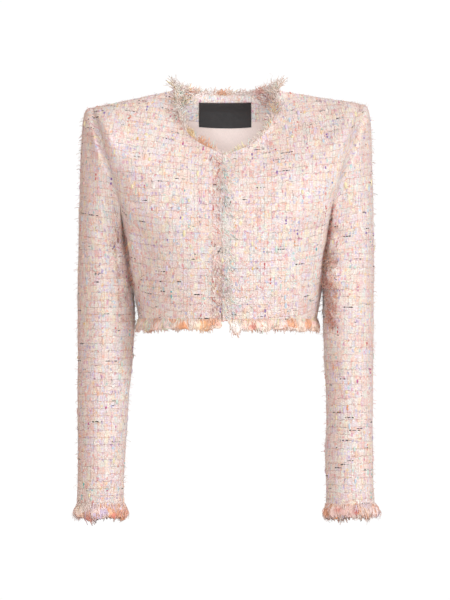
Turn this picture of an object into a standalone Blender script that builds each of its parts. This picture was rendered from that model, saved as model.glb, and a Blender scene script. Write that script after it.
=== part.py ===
"""Cropped tweed jacket, worn and hollow, with frayed edges.

Metres, +Z up.  The front faces -Y and the wearer's left is +X.  The origin is
on the centre line, level with the shoulder seams beside the neck.  Every table
and named size is in millimetres, and a point is scaled when its mesh is made.
"""
import math

import bmesh
import bpy
from mathutils import Vector

MM = 0.001

# Cloth
WALL = 2.0              # tweed with its interlining
FACING_WALL = 1.2
LINING_WALL = 1.0
LINING_EASE = 1.4       # the lining hangs this clear of the back
LABEL_WALL = 1.0
SEAM = 0.3              # parting between pieces that are sewn together

# Torso rings from the hem to the neck.  at: place along the body.  z_front,
# z_side, z_back: heights at the centre front, the side and the centre back.
# half: half width.  front, back: depths from y = 0.  power: squareness of the
# ring seen from above.  fall: how roundly its height drops from the side.
RING_COLUMNS = ("at", "z_front", "z_side", "z_back", "half", "front", "back", "power", "fall")
RINGS = (
    (0.00, -332, -332, -332, 130.0, 114.0, 84.0, 2.35, 1.5),
    (0.07, -302, -302, -302, 134.5, 119.5, 87.0, 2.35, 1.5),
    (0.14, -272, -271, -272, 138.0, 123.5, 91.0, 2.35, 1.5),
    (0.22, -240, -236, -238, 142.0, 125.0, 96.5, 2.45, 1.6),
    (0.30, -213, -200, -206, 151.0, 123.0, 101.5, 2.60, 1.7),
    (0.43, -197, -150, -170, 164.0, 120.0, 105.5, 2.80, 1.8),
    (0.57, -180, -90, -134, 179.0, 115.5, 106.0, 2.60, 2.0),
    (0.70, -160, -25.5, -98, 195.0, 109.0, 103.0, 2.10, 2.1),
    (0.80, -138, -15, -60, 157.0, 99.0, 95.0, 2.05, 1.8),
    (0.90, -117, -7, -28, 113.0, 87.0, 82.0, 2.05, 1.3),
    (0.97, -100, -1, -10, 80.0, 76.5, 67.0, 2.05, 0.85),
    (1.00, -90, 5, -3, 73.0, 72.0, 62.0, 2.00, 0.75),
)
SIDE_Y = -4.0           # side seam and shoulder seam, a little forward
NECK_DIP = 6.0          # the front neck drops to a shallow point at the centre
NECK_DIP_FROM = 0.90
NECK_DIP_ANGLE = 12.0
UNDERARM_AT = 0.30
TIP_AT = 0.70           # shoulder tip

# Armhole edge: angle round the body where each panel ends, 90 at the seams.
ARMHOLE_COLUMNS = ("share", "front", "back")
ARMHOLE = (
    (0.00, 90.0, 90.0),
    (0.05, 80.0, 81.0),
    (0.14, 72.0, 73.0),
    (0.32, 66.0, 68.0),
    (0.55, 65.0, 67.0),
    (0.78, 67.5, 69.0),
    (0.92, 73.5, 75.0),
    (0.97, 79.0, 80.0),
    (1.00, 90.0, 90.0),
)

# Centre front: where the two edges stand at the neck and at the hem.
EDGE_X_COLUMNS = ("at", "right", "left")
EDGE_X = (
    (0.00, -9.6, 0.4),
    (0.05, -8.0, -1.8),
    (0.50, -6.6, -3.6),
    (1.00, -6.2, -4.2),
)

# Sleeve rings below the underarm: z, inner and outer x, front and back y.
SLEEVE_COLUMNS = ("z", "inner", "outer", "front", "back", "power")
SLEEVE = (
    (-238, 144.6, 215.0, -66.0, 60.0, 2.15),
    (-270, 141.2, 215.4, -64.0, 58.0, 2.15),
    (-310, 137.5, 215.8, -62.0, 54.0, 2.15),
    (-350, 136.4, 215.8, -61.0, 49.0, 2.15),
    (-390, 137.0, 215.6, -60.5, 43.0, 2.15),
    (-435, 138.8, 215.4, -60.0, 36.0, 2.10),
    (-480, 141.0, 215.2, -59.5, 30.0, 2.10),
    (-525, 143.2, 215.2, -59.0, 25.0, 2.10),
    (-565, 145.0, 215.4, -58.5, 21.0, 2.10),
    (-599, 146.2, 216.0, -58.0, 18.0, 2.10),
)
HEAD_SQUARE = 5.0       # squared by a shoulder pad
HEAD_SLOPE = 0.2        # share of its width that the head gains on the way down
HEAD_FOCUS = 1.3        # how fast the squaring fades round the armhole
HEAD_STEPS = (0.0, 0.08, 0.20, 0.36, 0.55, 0.74, 0.88, 0.96, 1.0)
FRONT_SEAM_ANGLE = 112.0
BACK_SEAM_ANGLE = -112.0

# Largest soft folds, seen from one face: a trough from (x0, z0) to (x1, z1).
FOLD_END = 0.35         # share of its depth left at the ends of a trough
FOLD_FADE = 1.6         # a fold keeps its depth until the cloth turns this far away
FOLD_COLUMNS = ("face", "x0", "z0", "x1", "z1", "depth", "width")
FOLDS = (
    ("front", -202, -58, -196, -108, 4.0, 8.0),
    ("front", 203, -66, 198, -96, 2.0, 8.0),
    ("front", -148, -198, -112, -218, 3.0, 10.0),
    ("front", 148, -196, 118, -212, 2.5, 10.0),
    ("front", -117, -236, -112, -326, 3.0, 12.0),
    ("front", 119, -250, 116, -326, 2.0, 12.0),
    ("front", 146, -206, 172, -216, 3.0, 7.0),
    ("front", 144, -244, 168, -262, 3.0, 7.0),
    ("front", 142, -288, 164, -300, 2.5, 7.0),
    ("front", -147, -216, -170, -232, 3.0, 7.0),
    ("front", -144, -262, -166, -284, 2.5, 7.0),
    ("front", -142, -332, -176, -352, 2.5, 8.0),
    ("front", 142, -338, 172, -356, 2.5, 8.0),
    ("back", 0, -130, 0, -318, 3.5, 26.0),
    ("back", -142, -190, -104, -214, 3.0, 10.0),
    ("back", 142, -192, 106, -218, 3.0, 10.0),
    ("back", -150, -330, -188, -346, 3.0, 9.0),
    ("back", 150, -326, 190, -342, 3.0, 9.0),
    ("back", -152, -372, -186, -384, 2.5, 9.0),
    ("back", 152, -368, 188, -380, 2.5, 9.0),
)
FACE_DIRECTION = {"front": Vector((0, -1, 0)), "back": Vector((0, 1, 0))}

# Fringe: backing strip, and locks that taper from it.
STRIP = 3.0
STRIP_WALL = 1.8
STRIP_INSET = 0.1       # the strip lies this far inside the cloth's outer face
NECK_PARTING = 1.5      # seams between the neck edge and its strip
LOCK_BELLY = 0.36       # half width of a lock at mid length, as a share of its pitch
LOCK_DEPTH = 2.6
CUFF_LOCKS = 26
CUFF_WAVES = 5.0        # the flared cuff fringe waves in and out round the wrist
CUFF_WAVE_LEAN = 7.0
EDGE_LOCKS = 29
# Locks from the strip's far face.  lean: degrees towards the outward normal.
# drift: sideways lean along the strip, as a slope.  bow: swell at mid length.
# Each vary is how far the one before it goes up or down from lock to lock.
LOCK_COLUMNS = ("length", "vary", "lean", "lean_vary", "drift", "drift_vary", "bow")
LOCKS = {
    "hem": (16.5, 2.0, 9.0, 9.0, 0.0, 0.10, 1.2),
    "cuff": (25.0, 2.5, 24.0, 0.0, 0.0, 0.06, 3.4),
    "edge_left": (16.0, 1.5, 15.0, 2.5, -0.45, 0.08, 0.0),
    "edge_right": (10.0, 1.5, 6.0, 2.5, -0.45, 0.08, 0.0),
    "neck": (-1.2, 2.0, 0.0, 4.0, 0.0, 0.08, 0.0),
}
# Round the neck: angle from the centre front, length of a lock, and its lean
# away from the neck, in degrees.
NECK_LOCK_COLUMNS = ("angle", "length", "lean")
NECK_LOCK_TABLE = (
    (0.0, 6.0, 14.0),
    (45.0, 8.0, 20.0),
    (70.0, 12.5, 48.0),
    (88.0, 15.0, 58.0),
    (112.0, 12.0, 48.0),
    (140.0, 6.5, 26.0),
    (180.0, 5.0, 20.0),
)
EDGE_STRIP_X_LEFT = 8.0
EDGE_STRIP_X_RIGHT = -24.0
EDGE_LIFT = 0.7         # clear of the flat facets under it
EDGE_STRIP_START = 0.012
EDGE_STRIP_END = 0.988

# Inside the back neck
FACING_AT = 0.85        # lower edge of the facing
FACING_DROP = 0.5       # its upper edge stays this far below the neck edge
LABEL_LIFT = 1.1
LABEL_WIDTH = 78.0
LABEL_X = -2.0
LABEL_TOP = -19.0
LABEL_BOTTOM = -60.0

# Steps for slopes taken along a surface, and mesh density
ANGLE_STEP = 0.6
AT_STEP = 0.004
CUFF_STEP = 2.0
SHARP_ANGLE = 50.0
HEM_ROWS = 8
ARMHOLE_SHARES = (0.0, 0.03, 0.08, 0.15, 0.25, 0.37, 0.50, 0.63, 0.75, 0.86, 0.94, 1.0)
YOKE_ROWS = 6
FRONT_COLUMNS = 12
BACK_COLUMNS = 22
SLEEVE_ROWS = 11
LABEL_COLUMNS = 8

COLOURS = {             # base colour, roughness, metallic
    "tweed": ((0.83, 0.66, 0.60), 0.92, 0.0),
    "lining": ((0.80, 0.62, 0.60), 0.38, 0.0),
    "label": ((0.015, 0.015, 0.018), 0.75, 0.0),
    "neck_fringe": ((0.80, 0.62, 0.52), 0.95, 0.0),
    "edge_fringe": ((0.68, 0.69, 0.62), 0.95, 0.0),
    "hem_fringe": ((0.80, 0.47, 0.33), 0.95, 0.0),
}


# ---------------------------------------------------------------- tables

def column(columns, table, name):
    """One column of a table as a list."""
    index = columns.index(name)
    return [row[index] for row in table]


def smooth(keys, values, at):
    """Monotone cubic through (keys, values), which never overshoots."""
    if keys[0] > keys[-1]:
        keys = keys[::-1]
        values = values[::-1]
    at = min(max(at, keys[0]), keys[-1])
    count = len(keys)
    span = max(i for i in range(count - 1) if keys[i] <= at)
    slopes = [(values[i + 1] - values[i]) / (keys[i + 1] - keys[i]) for i in range(count - 1)]

    def tangent(i):
        if i == 0:
            return slopes[0]
        if i == count - 1:
            return slopes[-1]
        before, after = slopes[i - 1], slopes[i]
        if before * after <= 0:
            return 0.0
        return 2 * before * after / (before + after)

    width = keys[span + 1] - keys[span]
    u = (at - keys[span]) / width
    start, end = values[span], values[span + 1]
    return (start * (1 + 2 * u) * (1 - u) ** 2 + end * u * u * (3 - 2 * u)
            + width * u * (1 - u) * (tangent(span) * (1 - u) - tangent(span + 1) * u))


def lookup(columns, table, name, at):
    """Column `name` of a table at a value of its first column."""
    return smooth(column(columns, table, columns[0]), column(columns, table, name), at)


def wobble(seed):
    """A repeatable number from -1 to 1 for each seed."""
    value = math.sin(seed * 12.9898 + 4.137) * 43758.5453
    return 2.0 * (value - math.floor(value)) - 1.0


# ---------------------------------------------------------------- folds

def fold_depth(point, normal):
    """How far the cloth sinks at a point, from every fold of its face."""
    depth = 0.0
    for row in FOLDS:
        fold = dict(zip(FOLD_COLUMNS, row))
        facing = normal.dot(FACE_DIRECTION[fold["face"]])
        if facing <= 0.0:
            continue
        run = Vector((fold["x1"] - fold["x0"], fold["z1"] - fold["z0"]))
        offset = Vector((point.x - fold["x0"], point.z - fold["z0"]))
        share = min(max(offset.dot(run) / run.length_squared, 0.0), 1.0)
        away = (offset - run * share).length / fold["width"]
        ends = FOLD_END + (1.0 - FOLD_END) * math.sin(math.pi * share)
        depth += fold["depth"] * ends * min(1.0, facing * FOLD_FADE) * math.exp(-away * away)
    return depth


# ---------------------------------------------------------------- torso

def torso_point(angle, at):
    """Outer surface.  angle: 0 centre front, +-90 sides, 180 centre back."""
    ring = {name: lookup(RING_COLUMNS, RINGS, name, at) for name in RING_COLUMNS[1:]}
    side = -1.0 if angle < 0 else 1.0
    turn = math.radians(min(abs(angle), 360.0 - abs(angle)))
    across = max(math.sin(turn), 0.0) ** (2.0 / ring["power"])
    along = abs(math.cos(turn)) ** (2.0 / ring["power"])
    drop = abs(math.cos(turn)) ** ring["fall"]
    if math.cos(turn) >= 0:
        y = SIDE_Y - (ring["front"] + SIDE_Y) * along
        z = ring["z_side"] + (ring["z_front"] - ring["z_side"]) * drop
        near_neck = max(0.0, (at - NECK_DIP_FROM) / (1.0 - NECK_DIP_FROM))
        z -= NECK_DIP * near_neck * math.exp(-(math.degrees(turn) / NECK_DIP_ANGLE) ** 2)
    else:
        y = SIDE_Y + (ring["back"] - SIDE_Y) * along
        z = ring["z_side"] + (ring["z_back"] - ring["z_side"]) * drop
    if abs(angle) > 180:
        side = -side
    return Vector((side * ring["half"] * across, y, z))


def torso_normal(angle, at):
    """Outward unit normal, by small steps along the surface."""
    low = max(at - AT_STEP, 0.0)
    high = min(at + AT_STEP, 1.0)
    round_body = torso_point(angle + ANGLE_STEP, at) - torso_point(angle - ANGLE_STEP, at)
    up_body = torso_point(angle, high) - torso_point(angle, low)
    return round_body.cross(up_body).normalized()


def torso_surface(angle, at, inset=0.0):
    """Point with its folds, moved inwards by `inset`, and its normal."""
    point = torso_point(angle, at)
    normal = torso_normal(angle, at)
    return point - normal * (inset + fold_depth(point, normal)), normal


def angle_at_x(x, at):
    """Angle on the front where the ring at `at` crosses x."""
    half = lookup(RING_COLUMNS, RINGS, "half", at)
    power = lookup(RING_COLUMNS, RINGS, "power", at)
    return math.copysign(math.degrees(math.asin((abs(x) / half) ** (power / 2.0))), x)


def armhole_angle(face, at):
    """Angle where a panel ends at its side, armhole or shoulder edge."""
    if at <= UNDERARM_AT or at >= TIP_AT:
        return 90.0
    share = (at - UNDERARM_AT) / (TIP_AT - UNDERARM_AT)
    return lookup(ARMHOLE_COLUMNS, ARMHOLE, face, share)


def torso_rows():
    """Places of the panels' rows, hem to neck, denser at the armhole."""
    hem = [UNDERARM_AT * i / HEM_ROWS for i in range(HEM_ROWS)]
    arm = [UNDERARM_AT + (TIP_AT - UNDERARM_AT) * share for share in ARMHOLE_SHARES]
    yoke = [TIP_AT + (1 - TIP_AT) * (i + 1) / YOKE_ROWS for i in range(YOKE_ROWS)]
    return hem + arm + yoke


def trim(row, last):
    """Move one end of a row of (point, normal) back by half a seam."""
    index, neighbour = (-1, -2) if last else (0, 1)
    point, normal = row[index]
    inwards = (row[neighbour][0] - point).normalized()
    row[index] = (point + inwards * SEAM / 2, normal)


def panel_row(start, end, count, at, inset=0.0):
    return [torso_surface(start + (end - start) * i / count, at, inset) for i in range(count + 1)]


def front_rows(side):
    """A front, from its centre edge to its side, armhole and shoulder."""
    name = "left" if side > 0 else "right"
    rows = []
    for at in torso_rows():
        edge = angle_at_x(lookup(EDGE_X_COLUMNS, EDGE_X, name, at), at)
        row = panel_row(edge, side * armhole_angle("front", at), FRONT_COLUMNS, at)
        trim(row, True)
        rows.append(row)
    return rows


def back_rows():
    """The back, from its left side round to its right side."""
    rows = []
    for at in torso_rows():
        reach = armhole_angle("back", at)
        row = panel_row(180.0 - reach, 180.0 + reach, BACK_COLUMNS, at)
        trim(row, False)
        trim(row, True)
        rows.append(row)
    return rows


# ---------------------------------------------------------------- sleeves

def armhole_stations(side):
    """Points round the armhole: up its back edge and down its front edge.

    Each is (angle round the sleeve, point, torso normal), from -180 at the
    underarm through 0 at the shoulder tip to 180 at the underarm again.
    """
    loop = []
    for face, sign in (("back", -1.0), ("front", 1.0)):
        edge = []
        for share in reversed(ARMHOLE_SHARES):
            at = UNDERARM_AT + (TIP_AT - UNDERARM_AT) * share
            reach = armhole_angle(face, at)
            edge.append(torso_surface(side * (reach if face == "front" else 180.0 - reach), at))
        lengths = [0.0]
        for before, after in zip(edge, edge[1:]):
            lengths.append(lengths[-1] + (after[0] - before[0]).length)
        stations = [(sign * 180.0 * done / lengths[-1], point, normal)
                    for done, (point, normal) in zip(lengths, edge)]
        loop += reversed(stations) if face == "back" else stations[1:]
    return loop


def sleeve_ring(side, z, angle):
    """Outer surface below the underarm.  angle: 0 outside, 90 front."""
    ring = {name: lookup(SLEEVE_COLUMNS, SLEEVE, name, z) for name in SLEEVE_COLUMNS[1:]}
    turn = math.radians(angle)
    out = math.copysign(abs(math.cos(turn)) ** (2.0 / ring["power"]), math.cos(turn))
    fore = math.copysign(abs(math.sin(turn)) ** (2.0 / ring["power"]), math.sin(turn))
    x = (ring["outer"] + ring["inner"]) / 2 + (ring["outer"] - ring["inner"]) / 2 * out
    y = (ring["front"] + ring["back"]) / 2 + (ring["front"] - ring["back"]) / 2 * fore
    return Vector((side * x, y, z))


def head_point(side, angle, start, step):
    """Sleeve head: leaves the armhole outwards and turns down to the ring."""
    end = sleeve_ring(side, SLEEVE[0][0], angle)
    squared = math.cos(math.radians(angle) / 2) ** HEAD_FOCUS
    power = 2.0 / (2.0 + (HEAD_SQUARE - 2.0) * squared)
    turn = step * math.pi / 2
    fall = 1.0 - max(math.cos(turn), 0.0) ** power
    rise = math.sin(turn) ** power
    out = step + (rise + (fall - rise) * HEAD_SLOPE - step) * squared
    down = step + (fall - step) * squared
    return Vector((
        start.x + (end.x - start.x) * out,
        start.y + (end.y - start.y) * out,
        start.z + (end.z - start.z) * down,
    ))


def sleeve_grid(side):
    """Rows of (point, normal) from the armhole to the cuff, round the tube."""
    stations = armhole_stations(side)
    angles = [station[0] for station in stations]
    top, bottom = SLEEVE[0][0], SLEEVE[-1][0]
    rows = [[head_point(side, angle, point, step) for angle, point, normal in stations]
            for step in HEAD_STEPS]
    rows += [[sleeve_ring(side, top + (bottom - top) * (i + 1) / SLEEVE_ROWS, angle) for angle in angles]
             for i in range(SLEEVE_ROWS)]
    count = len(stations) - 1           # the last station repeats the first
    grid = []
    for i, row in enumerate(rows):
        above = rows[max(i - 1, 0)]
        below = rows[min(i + 1, len(rows) - 1)]
        line = []
        for j, point in enumerate(row):
            after = row[(j + 1) % count]
            before = row[(j - 1) % count]
            normal = (after - before).cross(below[j] - above[j]).normalized() * side
            if i == 0:
                torso = stations[j][2]
                shared = max(0.0, normal.dot(torso))
                normal = normal.lerp(torso, shared).normalized()
                point = point + (below[j] - point).normalized() * SEAM / 2
            else:
                point = point - normal * fold_depth(point, normal)
            line.append((point, normal))
        grid.append(line)
    return angles, grid


def sleeve_halves(side):
    """The upper and the under sleeve, parted at the two lengthwise seams."""
    angles, grid = sleeve_grid(side)
    first = min(range(len(angles)), key=lambda j: abs(angles[j] - BACK_SEAM_ANGLE))
    last = min(range(len(angles)), key=lambda j: abs(angles[j] - FRONT_SEAM_ANGLE))
    upper = [row[first:last + 1] for row in grid]
    under = [row[last:-1] + row[:first + 1] for row in grid]
    for rows in (upper, under):
        for row in rows:
            trim(row, False)
            trim(row, True)
    return upper, under


# ---------------------------------------------------------------- meshes

def add_object(name, mesh, colour):
    """Finish a bmesh as a named object with its own material."""
    bmesh.ops.recalc_face_normals(mesh, faces=mesh.faces)
    data = bpy.data.meshes.new(name)
    mesh.to_mesh(data)
    mesh.free()
    data.shade_smooth()
    data.set_sharp_from_angle(angle=math.radians(SHARP_ANGLE))
    base, roughness, metallic = COLOURS[colour]
    material = bpy.data.materials.new(name)
    material.use_nodes = True
    shader = material.node_tree.nodes["Principled BSDF"]
    shader.inputs["Base Color"].default_value = (*base, 1.0)
    shader.inputs["Roughness"].default_value = roughness
    shader.inputs["Metallic"].default_value = metallic
    data.materials.append(material)
    thing = bpy.data.objects.new(name, data)
    bpy.context.collection.objects.link(thing)
    return thing


def shell(name, rows, wall, colour, inset=0.0):
    """Closed cloth wall between rows of outer points and their inner points."""
    mesh = bmesh.new()
    layers = [[[mesh.verts.new((point - normal * depth) * MM) for point, normal in row] for row in rows]
              for depth in (inset, inset + wall)]

    def quad(a, b, c, d):
        mesh.faces.new((a, b, c))
        mesh.faces.new((a, c, d))

    height, width = len(rows), len(rows[0])
    for layer in layers:
        for i in range(height - 1):
            for j in range(width - 1):
                quad(layer[i][j], layer[i][j + 1], layer[i + 1][j + 1], layer[i + 1][j])
    outer, inner = layers
    for j in range(width - 1):
        for i in (0, height - 1):
            quad(outer[i][j], outer[i][j + 1], inner[i][j + 1], inner[i][j])
    for i in range(height - 1):
        for j in (0, width - 1):
            quad(outer[i][j], outer[i + 1][j], inner[i + 1][j], inner[i][j])
    return add_object(name, mesh, colour)


def on_grid(rows, u, v):
    """Point and normal at a fractional row and column of a grid."""
    i = min(int(u), len(rows) - 2)
    j = min(int(v), len(rows[0]) - 2)
    du, dv = u - i, v - j
    corners = [rows[i][j], rows[i][j + 1], rows[i + 1][j], rows[i + 1][j + 1]]
    shares = [(1 - du) * (1 - dv), (1 - du) * dv, du * (1 - dv), du * dv]
    point = sum((corner[0] * share for corner, share in zip(corners, shares)), Vector())
    normal = sum((corner[1] * share for corner, share in zip(corners, shares)), Vector())
    return point, normal.normalized()


# ---------------------------------------------------------------- fringe

def fringe(name, stations, locks, colour, closed=False):
    """Backing strip with one tapered lock on each stretch of its far face.

    stations: (point on the strip's outer near edge, direction away from the
    cloth, outward normal).  locks: (length, lean, drift, bow) for each stretch:
    lean turns a lock towards the normal, drift along the strip, and bow swells
    its middle outwards.
    """
    mesh = bmesh.new()
    rings = []
    for point, away, normal in stations:
        far = point + away * STRIP
        corners = (point, far, far - normal * STRIP_WALL, point - normal * STRIP_WALL)
        rings.append([mesh.verts.new(corner * MM) for corner in corners])
    count = len(stations)
    spans = count if closed else count - 1
    for i in range(spans):
        near, far = rings[i], rings[(i + 1) % count]
        for a, b in ((0, 1), (2, 3), (3, 0)):
            mesh.faces.new((near[a], near[b], far[b], far[a]))
        point, away, normal = stations[i]
        after = stations[(i + 1) % count]
        along = after[0] - point
        pitch = along.length
        along.normalize()
        away = (away + after[1]).normalized()
        normal = (normal + after[2]).normalized()
        length, lean, drift, bow = locks[i]
        turn = math.radians(lean)
        aim = (away * math.cos(turn) + normal * math.sin(turn) + along * drift).normalized()
        thick = aim.cross(along).normalized()
        if thick.dot(normal) < 0:
            thick = -thick
        root = [near[1], far[1], far[2], near[2]]
        centre = sum((vert.co for vert in root), Vector()) / 4
        middle = centre + (aim * length * 0.5 + thick * bow) * MM
        side = along * pitch * LOCK_BELLY * MM
        deep = thick * LOCK_DEPTH / 2 * MM
        belly = [mesh.verts.new(middle + offset) for offset in
                 (deep - side, deep + side, side - deep, -side - deep)]
        tip = mesh.verts.new(centre + aim * length * MM)
        for a in range(4):
            b = (a + 1) % 4
            mesh.faces.new((root[a], root[b], belly[b], belly[a]))
            mesh.faces.new((belly[a], belly[b], tip))
    if not closed:
        mesh.faces.new(rings[0])
        mesh.faces.new(rings[-1])
    return add_object(name, mesh, colour)


def lock(kind, seed, longer=0.0, further=0.0):
    """(length, lean, drift, bow) of one lock, varied by its seed."""
    style = dict(zip(LOCK_COLUMNS, LOCKS[kind]))
    length = style["length"] + style["vary"] * wobble(seed + 0.5) + longer
    lean = style["lean"] + style["lean_vary"] * wobble(seed) + further
    drift = style["drift"] + style["drift_vary"] * wobble(seed + 0.7)
    return length, lean, drift, style["bow"]


def split_spans(points, parts):
    """Stations with each span of a path cut into equal parts."""
    result = []
    for (start, first), (end, second) in zip(points, points[1:]):
        for step in range(parts):
            share = step / parts
            result.append((start.lerp(end, share), first.lerp(second, share).normalized()))
    return result + [points[-1]]


def round_torso(front_right, back, front_left, row):
    """Edge points of the three panels on one row, right front to left front."""
    right = [front_right[row][j] for j in range(FRONT_COLUMNS)]
    middle = list(reversed(back[row]))
    left = list(reversed(front_left[row][:FRONT_COLUMNS]))
    return right + middle + left


def make_hem_fringe(front_right, back, front_left):
    edge = split_spans(round_torso(front_right, back, front_left, 0), 2)
    down = Vector((0, 0, -1))
    stations = [(point - normal * SEAM + down * SEAM, down, Vector((normal.x, normal.y, 0)).normalized())
                for point, normal in edge]
    locks = [lock("hem", i) for i in range(len(stations) - 1)]
    fringe("hem_fringe", stations, locks, "hem_fringe")


def make_neck_fringe(front_right, back, front_left):
    edge = round_torso(front_right, back, front_left, -1)
    inside = round_torso(front_right, back, front_left, -2)
    stations = []
    for (point, normal), (below, _) in zip(edge, inside):
        away = point - below
        away = (away - normal * away.dot(normal)).normalized()
        stations.append((point - normal * STRIP_INSET + away * SEAM * NECK_PARTING, away, normal))
    locks = []
    for i in range(len(stations) - 1):
        place = (stations[i][0] + stations[i + 1][0]) / 2
        angle = math.degrees(math.atan2(abs(place.x), -place.y))
        length = lookup(NECK_LOCK_COLUMNS, NECK_LOCK_TABLE, "length", angle)
        lean = lookup(NECK_LOCK_COLUMNS, NECK_LOCK_TABLE, "lean", angle)
        locks.append(lock("neck", i, length, lean))
    fringe("neck_fringe", stations, locks, "neck_fringe")


def make_edge_fringe(side):
    """Strip laid on a front beside its edge, its locks over the opening."""
    name = "left" if side > 0 else "right"
    strip_x = EDGE_STRIP_X_LEFT if side > 0 else EDGE_STRIP_X_RIGHT
    stations = []
    for i in range(EDGE_LOCKS + 1):
        at = EDGE_STRIP_START + (EDGE_STRIP_END - EDGE_STRIP_START) * i / EDGE_LOCKS
        point, normal = torso_surface(angle_at_x(strip_x, at), at, -EDGE_LIFT - STRIP_WALL)
        away = Vector((-side, 0, 0))
        away = (away - normal * away.dot(normal)).normalized()
        stations.append((point, away, normal))
    locks = [lock("edge_" + name, i + side) for i in range(EDGE_LOCKS)]
    fringe("front_edge_fringe_" + name, stations, locks, "edge_fringe")


def make_cuff_fringe(side):
    name = "left" if side > 0 else "right"
    cuff = SLEEVE[-1][0]
    down = Vector((0, 0, -1))
    stations = []
    locks = []
    for i in range(CUFF_LOCKS):
        angle = -180.0 + 360.0 * i / CUFF_LOCKS
        point = sleeve_ring(side, cuff, angle)
        round_cuff = sleeve_ring(side, cuff, angle + CUFF_STEP) - sleeve_ring(side, cuff, angle - CUFF_STEP)
        normal = round_cuff.cross(down).normalized() * side
        stations.append((point - normal * STRIP_INSET + down * SEAM, down, normal))
        wave = math.sin(math.radians(angle) * CUFF_WAVES + side)
        locks.append(lock("cuff", i + side, 0.0, CUFF_WAVE_LEAN * wave))
    fringe("cuff_fringe_" + name, stations, locks, "hem_fringe", closed=True)


# ---------------------------------------------------------------- inside the neck

def make_neck_inside(back):
    """Facing and lining on the back's inner side, and the label on them."""
    places = torso_rows()
    split = min(range(len(places)), key=lambda i: abs(places[i] - FACING_AT))
    facing = [list(row) for row in back[split:]]
    facing[0] = [(point + (above - point).normalized() * SEAM / 2, normal)
                 for (point, normal), (above, _) in zip(back[split], back[split + 1])]
    facing[-1] = [(point + (below - point).normalized() * FACING_DROP, normal)
                  for (point, normal), (below, _) in zip(back[-1], back[-2])]
    shell("back_neck_facing", facing, FACING_WALL, "tweed", WALL + SEAM)

    lining = [row[1:-1] for row in back[1:split - 1:2] + [back[split - 1]]]
    top = [(point + (below - point).normalized() * SEAM / 2, normal)
           for (point, normal), (below, _) in zip(back[split][1:-1], back[split - 1][1:-1])]
    shell("back_lining", lining + [top], LINING_WALL, "lining", WALL + LINING_EASE)

    heights = [row[BACK_COLUMNS // 2][0].z for row in back]

    def row_at(z):
        i = max(k for k in range(len(heights) - 1) if heights[k] <= z)
        return i + (z - heights[i]) / (heights[i + 1] - heights[i])

    def column_at(u, x):
        spots = [on_grid(back, u, j)[0].x for j in range(BACK_COLUMNS + 1)]
        j = max(k for k in range(BACK_COLUMNS) if spots[k] >= x)
        return j + (spots[j] - x) / (spots[j] - spots[j + 1])

    low, high = row_at(LABEL_BOTTOM), row_at(LABEL_TOP)
    label = []
    for u in [low] + list(range(math.ceil(low), math.ceil(high))) + [high]:
        left = column_at(u, LABEL_X + LABEL_WIDTH / 2)
        right = column_at(u, LABEL_X - LABEL_WIDTH / 2)
        label.append([on_grid(back, u, left + (right - left) * k / LABEL_COLUMNS)
                      for k in range(LABEL_COLUMNS + 1)])
    shell("label", label, LABEL_WALL, "label", WALL + 2 * SEAM + FACING_WALL + LABEL_LIFT)


def main():
    for thing in list(bpy.data.objects):
        bpy.data.objects.remove(thing, do_unlink=True)
    front_right = front_rows(-1.0)
    front_left = front_rows(1.0)
    back = back_rows()
    shell("front_right", front_right, WALL, "tweed")
    shell("front_left", front_left, WALL, "tweed")
    shell("back", back, WALL, "tweed")
    for side, name in ((-1.0, "right"), (1.0, "left")):
        upper, under = sleeve_halves(side)
        shell("upper_sleeve_" + name, upper, WALL, "tweed")
        shell("under_sleeve_" + name, under, WALL, "tweed")
        make_cuff_fringe(side)
        make_edge_fringe(side)
    make_hem_fringe(front_right, back, front_left)
    make_neck_fringe(front_right, back, front_left)
    make_neck_inside(back)


main()
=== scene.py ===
"""Looks of a cropped tweed jacket, worn and hollow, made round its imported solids.

Metres, +Z up.  The front faces -Y and the wearer's left is +X.  The tables and
the surface maths are in millimetres, and a mesh is scaled as it is made.
"""

import math

import bmesh
import bpy
import numpy as np
from bpy.props import FloatProperty, FloatVectorProperty, IntProperty, PointerProperty
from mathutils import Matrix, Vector, noise


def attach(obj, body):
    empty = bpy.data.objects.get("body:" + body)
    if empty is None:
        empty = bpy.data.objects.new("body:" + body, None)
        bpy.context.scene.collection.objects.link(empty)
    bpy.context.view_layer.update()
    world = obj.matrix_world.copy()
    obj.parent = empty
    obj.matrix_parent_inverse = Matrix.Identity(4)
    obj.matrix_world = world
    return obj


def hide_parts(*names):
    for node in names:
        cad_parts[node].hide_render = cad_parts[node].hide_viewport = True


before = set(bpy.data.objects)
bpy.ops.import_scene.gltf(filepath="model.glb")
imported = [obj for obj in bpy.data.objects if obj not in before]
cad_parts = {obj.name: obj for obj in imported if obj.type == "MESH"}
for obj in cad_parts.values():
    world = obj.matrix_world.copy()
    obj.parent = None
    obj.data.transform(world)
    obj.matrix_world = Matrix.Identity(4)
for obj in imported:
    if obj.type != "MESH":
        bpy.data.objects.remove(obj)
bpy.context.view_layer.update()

bl_info = {
    "name": "Tweed jacket",
    "version": (1, 0, 0),
    "blender": (4, 5, 0),
    "location": "View3D > Sidebar > Jacket",
    "description": "Cloth shells, lining, label, fringe and slubs of a cropped tweed jacket",
    "category": "Add Mesh",
}

MM = 0.001
SIDES = ((-1.0, "right"), (1.0, "left"))
ACROSS = np.array((1.0, 0.0, 0.0))
DOWN = np.array((0.0, 0.0, -1.0))


# ---------------------------------------------------------------- tables

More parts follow.
